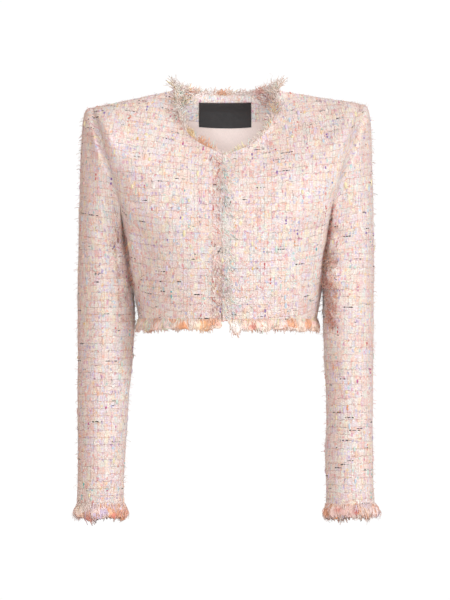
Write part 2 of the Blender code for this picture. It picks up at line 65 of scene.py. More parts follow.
def smooth(keys, values, at):
    """Monotone cubic through (keys, values), for an array of places."""
    if keys[0] > keys[-1]:
        keys, values = keys[::-1], values[::-1]
    at = np.clip(np.asarray(at, float), keys[0], keys[-1])
    span = np.clip(np.searchsorted(keys, at, side="right") - 1, 0, len(keys) - 2)
    slopes = np.diff(values) / np.diff(keys)
    product = slopes[:-1] * slopes[1:]
    total = slopes[:-1] + slopes[1:]
    inner = np.where(product > 0, 2 * product / np.where(product > 0, total, 1.0), 0.0)
    tangents = np.concatenate([slopes[:1], inner, slopes[-1:]])
    width = keys[span + 1] - keys[span]
    u = (at - keys[span]) / width
    return (values[span] * (1 + 2 * u) * (1 - u) ** 2 + values[span + 1] * u * u * (3 - 2 * u)
            + width * u * (1 - u) * (tangents[span] * (1 - u) - tangents[span + 1] * u))


class Table:
    """Rows with named columns."""

    def __init__(self, columns, *rows):
        self.columns = columns.split()
        self.rows = [dict(zip(self.columns, row)) for row in rows]

    def column(self, name):
        return np.array([row[name] for row in self.rows], float)

    def at(self, name, place):
        """A column's smooth value where the first column equals place."""
        return smooth(self.column(self.columns[0]), self.column(name), place)

    def ring(self, place):
        """Every column's smooth value there."""
        return {name: self.at(name, place) for name in self.columns[1:]}


# ---------------------------------------------------------------- sizes of the cut

SEAM = 0.06             # parting between pieces that are sewn together
SEAM_DIP = 0.12         # how far the cloth sinks towards a seam
SEAM_DIP_WIDTH = 2.5
FACING_WALL = 1.2
LINING_WALL = 0.8
LINING_EASE = 1.4
LABEL_WALL = 0.7
LABEL_LIFT = 1.1

# Torso rings from the hem to the neck.
RINGS = Table(
    "at z_front z_side z_back half front back power fall",
    (0, -332, -332, -332, 130, 114, 84, 2.35, 1.5),
    (0.07, -302, -302, -302, 134.5, 119.5, 87, 2.35, 1.5),
    (0.14, -272, -271, -272, 138, 123.5, 91, 2.35, 1.5),
    (0.22, -240, -236, -238, 142, 125, 96.5, 2.45, 1.6),
    (0.3, -213, -200, -206, 151, 123, 101.5, 2.6, 1.7),
    (0.43, -197, -150, -170, 164, 120, 105.5, 2.8, 1.8),
    (0.57, -180, -90, -134, 179, 115.5, 106, 2.6, 2),
    (0.7, -160, -25.5, -98, 195, 109, 103, 2.35, 2.1),
    (0.8, -138, -15, -60, 157, 99, 95, 2.2, 1.8),
    (0.9, -117, -7, -28, 113, 87, 82, 2.05, 1.3),
    (0.97, -100, -1, -10, 80, 76.5, 67, 2.05, 0.85),
    (1, -90, 5, -3, 73, 72, 62, 2, 0.75),
)
SIDE_Y = -4.0
NECK_DIP = 6.0
NECK_DIP_FROM = 0.90
NECK_DIP_ANGLE = 12.0
UNDERARM_AT = 0.30
TIP_AT = 0.72
HEM_ROWS = 8
YOKE_ROWS = 6
FRONT_COLUMNS = 12
BACK_COLUMNS = 22
SLEEVE_ROWS = 11
FINE = 5                # rows and columns of these shells for each of the solids'
ARMHOLE_SHARES = (0.0, 0.03, 0.08, 0.15, 0.25, 0.37, 0.50, 0.63, 0.75, 0.86, 0.94, 1.0)
ARMHOLE = Table(
    "share front back",
    (0, 90, 90), (0.05, 80, 81), (0.14, 72, 73), (0.32, 66, 68), (0.55, 65, 67),
    (0.78, 67.5, 69), (0.92, 73.5, 75), (0.97, 79, 80), (1, 90, 90),
)
EDGE_X = Table("at right left", (0, -8, -5.4), (0.05, -7.4, -6), (0.5, -6.6, -5.6), (1, -6.2, -5.2))

# Sleeve rings down to the cuff, and how far each sleeve hangs from them.
SLEEVE = Table(
    "z inner outer front back power right_inner right_outer left_inner left_outer",
    (-238, 144.6, 215, -66, 60, 2.15, -2, 0, -2.4, -1),
    (-270, 141.2, 215.4, -64, 58, 2.15, -3, 0, -1.9, -1.6),
    (-310, 137.5, 215.8, -62, 54, 2.15, -4.6, 0, 1.6, -2.8),
    (-350, 136.4, 215.8, -61, 49, 2.15, -3.2, 0, 4, -3.2),
    (-390, 137, 215.6, -60.5, 43, 2.15, -0.8, 0, 4.4, -3.2),
    (-435, 138.8, 215.4, -60, 36, 2.1, 1.4, 0, 4.6, -3.4),
    (-480, 141, 215.2, -59.5, 30, 2.1, 2.6, 0, 3.6, -4),
    (-525, 143.2, 215.2, -59, 25, 2.1, 2.8, 0, -0.4, -3.6),
    (-565, 145, 215.4, -58.5, 21, 2.1, 3, 0, -1.6, -3),
    (-599, 146.2, 216, -58, 18, 2.1, 2, 0, -2, -2.2),
)
SLEEVE_TOP, CUFF = SLEEVE.column("z")[[0, -1]]
HEAD_EASE = 9.0         # distance from the armhole over which the sleeve's own creases begin
HEAD_SQUARE = 5.0
HEAD_SLOPE = 0.2
HEAD_FOCUS = 1.3
HEAD_STEPS = (0.0, 0.08, 0.20, 0.36, 0.55, 0.74, 0.88, 0.96, 1.0)
SEAM_ANGLES = (-112.0, 112.0)     # back and front seam, round from the outside of the sleeve

# Folds and creases, seen from one face: a trough from (x0, z0) to (x1, z1).
# A depth below zero is a ridge.  The first of each face are those of the solids.
FOLD_END = 0.35
FOLD_FADE = 1.6
FRONT_FOLDS = Table(
    "x0 z0 x1 z1 depth width",
    (-202, -58, -196, -108, 4, 8), (203, -66, 198, -96, 2, 8), (-148, -198, -112, -218, 3, 10),
    (148, -196, 118, -212, 2.5, 10), (-117, -236, -112, -326, 3, 12), (119, -250, 116, -326, 2, 12),
    (146, -206, 172, -216, 3, 7), (144, -244, 168, -262, 3, 7), (142, -288, 164, -300, 2.5, 7),
    (-147, -216, -170, -232, 3, 7), (-144, -262, -166, -284, 2.5, 7), (-142, -332, -176, -352, 2.5, 8),
    (142, -338, 172, -356, 2.5, 8), (-178, -45, -163, -135, -4, 20), (178, -45, 163, -135, -4, 20),
    (-186, -64, -177, -106, -1.4, 5), (-141, -180, -140, -285, -5, 9), (142, -180, 141, -285, -5, 9),
    (-150, -150, -124, -172, 1.8, 5), (-146, -166, -128, -186, -1.2, 5), (152, -152, 130, -170, 1.4, 5),
    (-128, -228, -104, -242, 1.4, 6), (130, -226, 108, -238, 1.2, 6), (-98, -252, -92, -324, 1.6, 6),
    (98, -262, 95, -322, 1.2, 6), (-36, -216, -30, -318, 1, 9), (44, -232, 40, -322, 0.9, 9),
    (-60, -96, -34, -120, 0.9, 7), (62, -92, 36, -118, 0.9, 7), (142, -222, 166, -236, -2, 6),
    (141, -268, 163, -280, -2, 6), (140, -306, 160, -322, 1.8, 6), (-146, -238, -168, -256, -1.8, 6),
    (-141, -300, -160, -316, 1.6, 6), (-198, -126, -188, -150, 1.4, 6), (200, -130, 190, -156, 1.2, 6),
    (-206, -250, -184, -262, 0.9, 6), (208, -262, 186, -276, 0.9, 6), (-140, -392, -168, -404, 1.3, 7),
    (140, -398, 166, -412, 1.3, 7), (-146, -470, -180, -482, 0.9, 8), (148, -486, 182, -496, 0.9, 8),
    (-150, -548, -186, -556, 0.8, 7), (152, -552, 190, -560, 0.8, 7),
)
BACK_FOLDS = Table(
    "x0 z0 x1 z1 depth width",
    (0, -130, 0, -318, 3.5, 26), (-142, -190, -104, -214, 3, 10), (142, -192, 106, -218, 3, 10),
    (-150, -330, -188, -346, 3, 9), (150, -326, 190, -342, 3, 9), (-152, -372, -186, -384, 2.5, 9),
    (152, -368, 188, -380, 2.5, 9), (-58, -66, -30, -96, 1.2, 9), (60, -68, 32, -98, 1.2, 9),
    (-96, -236, -84, -316, 1.5, 9), (98, -242, 88, -318, 1.5, 9), (-150, -158, -128, -182, 1.8, 7),
    (150, -156, 128, -184, 1.8, 7), (-206, -352, -180, -362, 1.4, 7), (206, -348, 180, -360, 1.4, 7),
    (-154, -430, -186, -444, 1.4, 8), (156, -426, 186, -440, 1.4, 8), (-158, -520, -190, -530, 1, 8),
    (158, -516, 190, -528, 1, 8),
)

# Places where the cloth hangs unevenly: a soft push centred on (x, z).
PUSH_COLUMNS = "x z wide high move_x move_y move_z"
PUSHES = Table(
    PUSH_COLUMNS,
    (-160, -16, 42, 30, 0, 0, -3.2), (-192, -24, 20, 22, 0, 0, -1.5), (188, -24, 26, 26, 0, 0, 1.4),
    (-132, -322, 26, 26, 2.8, 0, 0), (140, -290, 22, 34, 2.6, 0, 0), (-176, -78, 20, 46, 0, -14, 0),
    (176, -78, 20, 46, 0, -9, 0), (-142, -236, 15, 52, 0, -9, 0), (142, -236, 15, 52, 0, -9, 0),
)
SLEEVE_PUSHES = Table(
    PUSH_COLUMNS,
    (-194, -60, 22, 46, 0, -15, 0), (196, -54, 22, 42, 0, -12, 0), (149, -236, 13, 62, 0, -11, 0),
    (-149, -244, 11, 62, 0, -6, 0),
)
PUSH_FADE = 30.0         # the pushes forward die out over this depth towards the side seams

# Unevenness of a handled cloth: height, and distance over which it changes.
SWELLS = Table("height span", (0.9, 46), (0.28, 5.5))

# Where pieces lie on the cloth, in metres, so that no two show the same stretch of it.
FLAT_FRONT = (0.31, 0.0)
FLAT_BACK = (0.0, 0.9)
FLAT_SLEEVE = (0.5, 0.6)
FLAT_FACING = (0.7, 0.2)

# Inside the back neck
FACING_AT = 0.85
FACING_ROWS = 6
FACING_REACH = 89.6      # degrees from the centre back to each end
FACING_DROP = 0.5
LINING_AT = 0.035
LINING_ROWS = 22
LINING_NARROWER = 3.0    # degrees between its sides and the armholes
LABEL_WIDTH = 78.0
LABEL_X = -2.0
LABEL_TOP = -13.5
LABEL_BOTTOM = -50.5
LABEL_ROWS = 24
LABEL_COLUMNS = 44

# Fringe
STRIP_WIDTH = 3.0        # strips that the fringes of hem and cuffs grow on
STRIP_INSET = 0.4
HEM_LEAN = 18.0
CUFF_LEAN = 30.0         # degrees outwards, with soft waves round the cuff
CUFF_WAVE = 9.0
CUFF_WAVES = 5.0
CUFF_STATIONS = 120
EDGE_PLACES = (0.004, 0.99, 90)  # from hem to neck, and how many
EDGE_FOOT = 0.022
EDGE_SWEEP = 0.06
CLUMP_SPAN = 12.0        # fringe changes in length and lean over this distance
CLUMP_LEAN = 0.9
RUFFLE = 3.0             # how far the matted core of a fringe waves, and over what distance
RUFFLE_SPAN = 5.0
HEM_PARTING = -0.5       # where the fringe of the hem is thin, below the front opening
HEM_PARTING_WIDTH = 6.5
HEM_PARTED = 0.97
HEM_BACK_DIP = 18.0      # the fringe is short over this distance at the centre back
HEM_BACK_PARTED = 0.82
HEM_TUFT = (14.0, 4.5, 0.35)     # place, width and extra length of the tuft beside it
# Profile of the matted core of a fringe, down its outside and up its inside.
CORE = Table(
    "along lift",
    (0.18, 0.7), (0.42, 1.2), (0.66, 1.3), (0.84, 0.8), (0.93, -0.3), (0.86, -1.5), (0.5, -2), (0, -1.4),
)
NECK_REACH = Table(
    "angle length lean crowd",
    (0, 5, 4, 1), (12, 9, 0, 1), (28, 12, -8, 1), (46, 10, 15, 1),
    (60, 13, 60, 1.1), (74, 16, 76, 1.25), (88, 16, 66, 1.3), (102, 15, 45, 1.2),
    (122, 12, 15, 1.1), (145, 9, 6, 1), (180, 8, 4, 1),
)
# Floss of soft yarn lies on the inner fronts of the sleeves.
FLOSS_X = (146.0, 163.0)
FLOSS_TOP = -165.0
FLOSS_FOOT = -345.0
FLOSS_BEHIND = -10.0     # no floss lies behind this y
OUT_OF_REACH = 999.0
# And on the sides of the body.
SIDE_FLOSS_PLACES = (0.11, 0.31, 50)
SIDE_FLOSS_ANGLES = (87.0, 75.0)

# ---------------------------------------------------------------- colours

DYES = {                # sRGB, 0 to 255
    "white": (251, 245, 240), "cream": (249, 238, 227), "blush": (247, 225, 220), "rose": (242, 204, 200),
    "peach": (250, 218, 198), "orange": (243, 176, 132), "coral": (234, 146, 132), "rust": (176, 112, 98),
    "lilac": (228, 212, 238), "violet": (150, 118, 186), "butter": (251, 240, 196), "gold": (242, 206, 124),
    "mint": (218, 238, 228), "sky": (206, 226, 242), "blue": (128, 146, 206), "teal": (116, 198, 198),
    "magenta": (206, 112, 160), "red": (214, 102, 104), "grey": (168, 158, 160), "ink": (38, 35, 40),
    "stone": (226, 220, 213), "sage": (172, 180, 168),
}
# Each dye of a yarn, and its share in per cent.
WARP_DYES = "white 30 blush 26 cream 22 rose 10 lilac 5 peach 3 mint 2 sky 2"
WEFT_DYES = "blush 32 cream 24 white 22 rose 10 peach 6 lilac 4 stone 2"
ROW_DYES = "rose 16 coral 18 rust 12 orange 20 grey 16 peach 18"
POST_DYES = "rose 34 coral 14 peach 18 grey 10 lilac 12 orange 12"
PATCH_DYES = "butter 20 rose 18 peach 18 lilac 16 mint 12 sky 10 coral 6"
TINT_DYES = "rose 16 blush 24 peach 10 cream 16 mint 8 white 12 lilac 14"
NEP_DYES = "red 14 coral 14 orange 16 magenta 10 violet 12 blue 6 teal 6 gold 10 grey 12"
SLUB_DYES = "red 10 violet 20 magenta 14 teal 10 orange 14 coral 14 sky 8 gold 6 blue 4"
SOFT_SLUB_DYES = "butter 26 peach 20 lilac 16 mint 14 sky 12 rose 12"
END_DYES = "cream 26 blush 26 white 22 rose 12 peach 5 lilac 4 stone 5"
WHISKER_DYES = "stone 22 rose 20 blush 20 sage 10 rust 8 cream 20"
HEM_DYES = "peach 22 cream 10 blush 18 orange 12 peach 12 rose 10 butter 5 mint 3 blush 8"
CUFF_DYES = "peach 22 blush 20 cream 20 rose 8 peach 10 orange 6 lilac 4 blush 10"
NECK_DYES = "white 24 blush 26 cream 18 peach 12 mint 6 white 6 orange 4 butter 4"
LEFT_EDGE_DYES = "white 50 mint 16 cream 10 stone 8 sky 6 sage 6 ink 4"
# The coral and rust in the right edge's yarn are partly painted shade, where that edge lies under the left front's
# fringe.
RIGHT_EDGE_DYES = "blush 26 cream 16 rose 20 peach 14 coral 10 rust 8 white 6"
FLOSS_DYES = "coral 24 peach 24 rose 22 orange 16 rust 6 blush 8"
# Browns and greys for strands in shaded places: painted shade.
PAINTED_SHADE_DYES = "rust 20 rose 22 peach 20 grey 16 coral 10 orange 12"

# Clumps of one colour, given one by one for each kind of fringe: most are dyes, and some are painted shade.
ACCENT_COLUMNS = "x y z radius dye share"
ACCENTS = {
    "hem": Table(
        ACCENT_COLUMNS,
        (-118, -104, -340, 13, "gold", 0.35), (-80, -112, -342, 5, "rust", 0.6), (-66, -114, -342, 12, "orange", 0.85),
        (-36, -116, -345, 13, "gold", 0.25), (-14, -116, -338, 7, "orange", 0.3), (13, -116, -343, 11, "white", 0.95),
        (38, -116, -342, 6, "coral", 0.8), (51, -115, -342, 5, "orange", 0.7), (86, -112, -338, 6, "orange", 0.6),
        (122, -98, -338, 14, "orange", 0.35),
    ),
    "cuff": Table(
        ACCENT_COLUMNS,
        (-205, -40, -610, 11, "gold", 0.4), (-201, -55, -623, 10, "coral", 0.75), (-190, -60, -621, 7, "rose", 0.9),
        (-176, -62, -609, 6, "lilac", 0.8), (-161, -56, -615, 6, "coral", 0.8), (-147, -42, -611, 8, "orange", 0.7),
        (143, -40, -609, 10, "orange", 0.75), (160, -56, -606, 6, "coral", 0.6), (166, -62, -620, 7, "lilac", 0.8),
        (187, -62, -609, 5, "red", 0.8), (197, -58, -620, 10, "orange", 0.7),
    ),
    "neck": Table(
        ACCENT_COLUMNS,
        # The rust clump at (60, -20, -10) is painted shade, behind the pale strands at the wearer's left of the neck.
        (-32, -66, -74, 21, "orange", 0.8), (-50, -54, -64, 12, "gold", 0.6), (60, -20, -10, 15, "rust", 0.6),
        (84, -8, -6, 20, "white", 0.8), (-84, -8, -2, 20, "white", 0.8), (50, 40, -2, 14, "coral", 0.5),
        (-52, 40, 0, 12, "coral", 0.4), (16, -70, -82, 12, "butter", 0.8), (-5, 61, 2, 12, "orange", 0.8),
    ),
    "edge": Table(
        ACCENT_COLUMNS,
        # The coral and rust clumps along the right front's edge are partly its own coral tufts and partly painted
        # shade, where it lies under the left front's fringe.
        (-17, -108, -118, 22, "coral", 0.65), (-14, -106, -142, 12, "rust", 0.5), (-14, -122, -262, 12, "rust", 0.6),
        (-17, -122, -292, 22, "rust", 0.45), (-15, -120, -318, 14, "rust", 0.5), (0, -112, -138, 11, "mint", 0.8),
    ),
}
POST_YARNS = 2.0         # yarns from one thin upright line of the check to the next
ROW_YARNS = 4.0          # and from one thin level line to the next

# Fringe that falls back over the ends of the neck facing; the left one's browns and greys are painted shade.
NECK_ENDS = Table(
    "side name dyes from_x to_x length lean radius strands",
    (-1.0, "right", NECK_DYES, 42, 90, 8.0, 0.45, 0.0010, 170000.0),
    (1.0, "left", PAINTED_SHADE_DYES, 40, 60, 4.0, 0.5, 0.0004, 200000.0),
)
# The fringe of each front edge grows on a band of cloth from near to far, in
# shares of the fringe settings.  foot: how much longer it is at the hem, where
# sweep turns it towards the wearer's left.
EDGE_FRINGE = Table(
    "side name dyes near far shift length lean foot sweep fade thick dense",
    (-1.0, "right", RIGHT_EDGE_DYES, -8, -22, 0, 0.34, 5.0, 0.0, 0.0, 0.2, 0.55, 1.0),
    (1.0, "left", LEFT_EDGE_DYES, -9, 8, 4, 0.6, 1.0, -0.2, 0.7, 0.15, 0.55, 1.15),
)
# Soft loose yarn on the sleeves and on the sides of the body; the right one's browns and greys are painted shade.
FLOSS = Table(
    "side name dyes reach lean radius dense",
    (-1.0, "right", PAINTED_SHADE_DYES, 5.0, 10.0, 0.00032, 40.0),
    (1.0, "left", FLOSS_DYES, 8.0, 28.0, 0.00055, 34.0),
)
# Lumps of thick yarn, in metres.  turn: away from the warp.  seed: added to that of the fringe.
SLUBS = Table(
    "name dyes radius length gap turn lumps seed",
    ("bright", SLUB_DYES, 0.0012, 0.0021, 0.0052, 0.0, 2, 9),
    ("soft", SOFT_SLUB_DYES, 0.0017, 0.0040, 0.006, 0.0, 1, 6),
    ("black", "ink 100", 0.0007, 0.0020, 0.0043, math.pi / 2, 4, 1),
)

# ---------------------------------------------------------------- stage

FRAME_HEIGHT = 0.870     # metres that the camera sees from top to bottom
FLOOR_RADIUS = 3.2
FLOOR_SIDES = 96
FRAME_CENTRE = (-0.0022, -0.3045)
AIM = (0.0, 0.0, -0.28)
# power: share of the key light, or none for the lamp that has a setting of its own.
LAMPS = Table(
    "name place size power aim spread",
    ("key_light", (2.8, -1.75, 0.8), 1.2, 1.0, AIM, 180),
    ("front_light", (-0.9, -3.4, 0.35), 1.2, 0.70, AIM, 180),
    ("top_light", (0.25, -2.1, 2.0), 1.0, 0.42, AIM, 180),
    ("back_light", (-0.3, 3.3, 0.7), 1.6, 0.65, AIM, 180),
    ("neck_light", (0.03, -0.04, -0.12), 0.08, 0.0, (-0.03, 0.06, -0.01), 90),
)


# ---------------------------------------------------------------- cloth surfaces

def finer(values, parts):
    """The values with each step between them cut into equal parts."""
    places = np.arange((len(values) - 1) * parts + 1) / parts
    return np.interp(places, np.arange(len(values)), values)


def unit(vectors):
    return vectors / np.maximum(np.linalg.norm(vectors, axis=-1, keepdims=True), 1e-9)


def dot(first, second):
    return (first * second).sum(-1, keepdims=True)


def fold_depth(points, normals):
    """How far the cloth sinks at each point."""
    depth = np.zeros(points.shape[:-1])
    for sign, table in ((-1.0, FRONT_FOLDS), (1.0, BACK_FOLDS)):
        facing = np.clip(normals[..., 1] * sign * FOLD_FADE, 0.0, 1.0)
        for fold in table.rows:
            run = np.array((fold["x1"] - fold["x0"], fold["z1"] - fold["z0"]), float)
            offset = points[..., (0, 2)] - np.array((fold["x0"], fold["z0"]), float)
            share = np.clip(offset @ run / (run @ run), 0.0, 1.0)
            away = np.linalg.norm(offset - share[..., None] * run, axis=-1) / fold["width"]
            ends = FOLD_END + (1.0 - FOLD_END) * np.sin(np.pi * share)
            depth += fold["depth"] * ends * facing * np.exp(-away * away)
    return depth


def swell(points):
    """Soft unevenness at each point."""
    flat = points.reshape(-1, 3)
    height = np.zeros(len(flat))
    for size in SWELLS.rows:
        height += size["height"] * noises(flat / size["span"])
    return height.reshape(points.shape[:-1])


def noises(points):
    return np.array([noise.noise(Vector(point)) for point in points])


def torso_point(angle, at):
    """Outer surface.  angle: 0 centre front, +-90 sides, 180 centre back."""
    angle, at = np.broadcast_arrays(np.asarray(angle, float), np.asarray(at, float))
    ring = RINGS.ring(at)
    past = np.abs(angle) > 180.0
    side = np.where(angle < 0, -1.0, 1.0) * np.where(past, -1.0, 1.0)
    wrapped = np.where(past, 360.0 - np.abs(angle), np.abs(angle))
    turn = np.radians(wrapped)
    across = np.maximum(np.sin(turn), 0.0) ** (2.0 / ring["power"])
    along = np.abs(np.cos(turn)) ** (2.0 / ring["power"])
    drop = np.abs(np.cos(turn)) ** ring["fall"]
    fore = np.cos(turn) >= 0
    y = np.where(fore, SIDE_Y - (ring["front"] + SIDE_Y) * along, SIDE_Y + (ring["back"] - SIDE_Y) * along)
    z = ring["z_side"] + (np.where(fore, ring["z_front"], ring["z_back"]) - ring["z_side"]) * drop
    near_neck = np.clip((at - NECK_DIP_FROM) / (1.0 - NECK_DIP_FROM), 0.0, 1.0)
    z = z - np.where(fore, NECK_DIP * near_neck * np.exp(-(wrapped / NECK_DIP_ANGLE) ** 2), 0.0)
    return np.stack([side * ring["half"] * across, y, z], axis=-1)


def push(points, table=PUSHES):
    """Move points where the cloth hangs unevenly."""
    moved = points.copy()
    for spot in table.rows:
        away = ((points[..., 0] - spot["x"]) / spot["wide"]) ** 2 + ((points[..., 2] - spot["z"]) / spot["high"]) ** 2
        share = np.exp(-away)
        moved[..., 0] += spot["move_x"] * share
        moved[..., 1] += spot["move_y"] * share * np.clip(-points[..., 1] / PUSH_FADE, 0.0, 1.0)
        moved[..., 2] += spot["move_z"] * share
    return moved


def torso_surface(angle, at, inset=0.0):
    """Points with folds and unevenness, moved inwards, and their normals."""
    angle, at = np.broadcast_arrays(np.asarray(angle, float), np.asarray(at, float))
    round_body = torso_point(angle + 0.6, at) - torso_point(angle - 0.6, at)
    up_body = torso_point(angle, np.minimum(at + 0.004, 1.0)) - torso_point(angle, np.maximum(at - 0.004, 0.0))
    normals = unit(np.cross(round_body, up_body))
    points = torso_point(angle, at)
    depth = fold_depth(points, normals) - swell(points)
    return push(points - normals * (depth[..., None] + inset)), normals


def angle_at_x(x, at):
    """Angle on the front where the ring at `at` crosses x."""
    return np.copysign(np.degrees(np.arcsin((np.abs(x) / RINGS.at("half", at)) ** (RINGS.at("power", at) / 2.0))), x)


def armhole_angle(face, at):
    share = (at - UNDERARM_AT) / (TIP_AT - UNDERARM_AT)
    return np.where((share <= 0) | (share >= 1), 90.0, ARMHOLE.at(face, share))


def torso_rows():
    hem = [UNDERARM_AT * i / HEM_ROWS for i in range(HEM_ROWS)]
    arm = [UNDERARM_AT + (TIP_AT - UNDERARM_AT) * share for share in ARMHOLE_SHARES]
    yoke = [TIP_AT + (1 - TIP_AT) * (i + 1) / YOKE_ROWS for i in range(YOKE_ROWS)]
    return finer(hem + arm + yoke, FINE)[:, None]


def sew(points, normals, first=True, last=True):
    """Part the ends of each row by half a seam, and sink the cloth there."""
    for wanted, order in ((first, 1), (last, -1)):
        if not wanted:
            continue
        row, lean = points[:, ::order], normals[:, ::order]
        steps = np.linalg.norm(np.diff(row, axis=1), axis=-1)
        away = np.concatenate([np.zeros((len(row), 1)), np.cumsum(steps, axis=1)], axis=1)
        row -= lean * (SEAM_DIP * np.exp(-(away / SEAM_DIP_WIDTH) ** 2))[..., None]
        row[:, 0] += unit(row[:, 1] - row[:, 0]) * SEAM / 2
    return points, normals


def front_cloth(side, name):
    at = torso_rows()
    edge = angle_at_x(EDGE_X.at(name, at), at)
    share = np.linspace(0.0, 1.0, FRONT_COLUMNS * FINE + 1)[None, :]
    return sew(*torso_surface(edge + (side * armhole_angle("front", at) - edge) * share, at), first=False)


def back_cloth(at, reach):
    """The back from the wearer's left side round to the right, as far as reach."""
    share = np.linspace(-1.0, 1.0, BACK_COLUMNS * FINE + 1)[None, :]
    return torso_surface(180.0 + reach * share, at)


def armhole_stations(side):
    """Round the armhole: angle round the sleeve, point and torso normal."""
    places = UNDERARM_AT + (TIP_AT - UNDERARM_AT) * finer(ARMHOLE_SHARES[::-1], FINE)
    parts = []
    for face, sign in (("back", -1.0), ("front", 1.0)):
        reach = armhole_angle(face, places)
        points, normals = torso_surface(side * (reach if face == "front" else 180.0 - reach), places)
        lengths = np.concatenate([[0.0], np.cumsum(np.linalg.norm(np.diff(points, axis=0), axis=-1))])
        parts.append((sign * 180.0 * lengths / lengths[-1], points, normals))
    back, front = parts
    return [np.concatenate([b[::-1], f[1:]]) for b, f in zip(back, front)]


def sleeve_ring(side, z, angle):
    """Outer surface below the underarm.  angle: 0 outside, 90 front."""
    z, angle = np.broadcast_arrays(np.asarray(z, float), np.asarray(angle, float))
    ring = SLEEVE.ring(z)
    turn = np.radians(angle)
    out, fore = [np.sign(wave) * np.abs(wave) ** (2.0 / ring["power"]) for wave in (np.cos(turn), np.sin(turn))]
    hand = "left_" if side > 0 else "right_"
    inner, outer = [ring[edge] + ring[hand + edge] for edge in ("inner", "outer")]
    x = (outer + inner) / 2 + (outer - inner) / 2 * out
    y = (ring["front"] + ring["back"]) / 2 + (ring["front"] - ring["back"]) / 2 * fore
    return np.stack([side * x, y, z], axis=-1)


def head_rows(side, angles, start, steps):
    """Sleeve head: leaves the armhole outwards and turns down to the ring."""
    end = sleeve_ring(side, SLEEVE_TOP, angles)[None]
    squared = (np.cos(np.radians(angles) / 2).clip(0.0) ** HEAD_FOCUS)[None, :]
    power = 2.0 / (2.0 + (HEAD_SQUARE - 2.0) * squared)
    step = np.asarray(steps)[:, None]
    fall = 1.0 - np.cos(step * np.pi / 2).clip(0.0) ** power
    rise = np.sin(step * np.pi / 2) ** power
    out = step + (rise + (fall - rise) * HEAD_SLOPE - step) * squared
    down = step + (fall - step) * squared
    return start[None] + (end - start[None]) * np.stack([out, out, down], axis=-1)


def sleeve_cloth(side):
    """Rows from the armhole to the cuff, right round the tube."""
    angles, start, torso_normals = armhole_stations(side)
    head = head_rows(side, angles, start, finer(HEAD_STEPS, FINE))
    rows = SLEEVE_ROWS * 2 * FINE
    levels = SLEEVE_TOP + (CUFF - SLEEVE_TOP) * np.arange(1, rows + 1) / rows
    points = np.concatenate([head, sleeve_ring(side, levels[:, None], angles[None, :])])
    ring = points[:, :-1]
    around = np.roll(ring, -1, axis=1) - np.roll(ring, 1, axis=1)
    around = np.concatenate([around, around[:, :1]], axis=1)
    normals = unit(np.cross(around, np.gradient(points, axis=0))) * side
    shared = np.clip(dot(normals[0], torso_normals), 0.0, 1.0)
    normals[0] = unit(normals[0] + (torso_normals - normals[0]) * shared)
    depth = fold_depth(points, normals) - swell(points)
    eased = (1.0 - np.exp(-(np.linalg.norm(points - points[:1], axis=-1) / HEAD_EASE) ** 2))[..., None]
    points = points - normals * depth[..., None] * eased
    points = points + (push(points, SLEEVE_PUSHES) - points) * eased
    points[0] += unit(points[1] - points[0]) * SEAM / 2
    return angles, points, normals, unit(around[len(head) - 1])[None]


def lay_flat(points, normals, start, order, across=ACROSS):
    """Place of each point on the flat cloth in metres, and its warp direction.

    start: the column that the warp follows.  order: 1 if columns run the way
    the weft does, or -1.  across: roughly where the weft runs.
    """
    tangents = np.gradient(points, axis=1) * order
    weft = unit(across - normals * dot(across, normals) + 0.15 * unit(tangents))
    warp = unit(np.cross(normals, weft))
    warp = warp * np.sign(warp[..., 2].mean())

    def walk(axis, lower, upper):
        step = np.diff(points, axis=axis)
        ways = [(step * (lie[lower] + lie[upper]) / 2).sum(-1) for lie in (weft, warp)]
        zero = np.zeros_like(np.take(ways[0], [0], axis=axis))
        return [np.cumsum(np.concatenate([zero, way], axis=axis), axis=axis) for way in ways]

    every = slice(None)
    rows = walk(0, slice(None, -1), slice(1, None))
    columns = walk(1, (every, slice(None, -1)), (every, slice(1, None)))
    flat = [row[:, start:start + 1] + col - col[:, start:start + 1] for row, col in zip(rows, columns)]
    return np.stack(flat, axis=-1) * MM, warp


# ---------------------------------------------------------------- meshes

def put_on(name, points, faces):
    """Link a mesh of points in millimetres as an object."""
    mesh = bpy.data.meshes.new(name)
    mesh.from_pydata((points * MM).tolist(), [], faces.tolist())
    thing = bpy.data.objects.new(name, mesh)
    bpy.context.scene.collection.objects.link(thing)
    return thing


def add_values(mesh, **values):
    """Store vectors or numbers as attributes on a mesh's points."""
    for name, each in values.items():
        each = np.asarray(each, np.float32)
        kind, field = ("FLOAT_VECTOR", "vector") if each.ndim > 1 else ("FLOAT", "value")
        mesh.attributes.new(name, kind, "POINT").data.foreach_set(field, each.ravel())


def grid_faces(rows, columns):
    index = np.arange(rows * columns).reshape(rows, columns)
    return np.stack([index[:-1, :-1], index[:-1, 1:], index[1:, 1:], index[1:, :-1]], axis=-1).reshape(-1, 4)


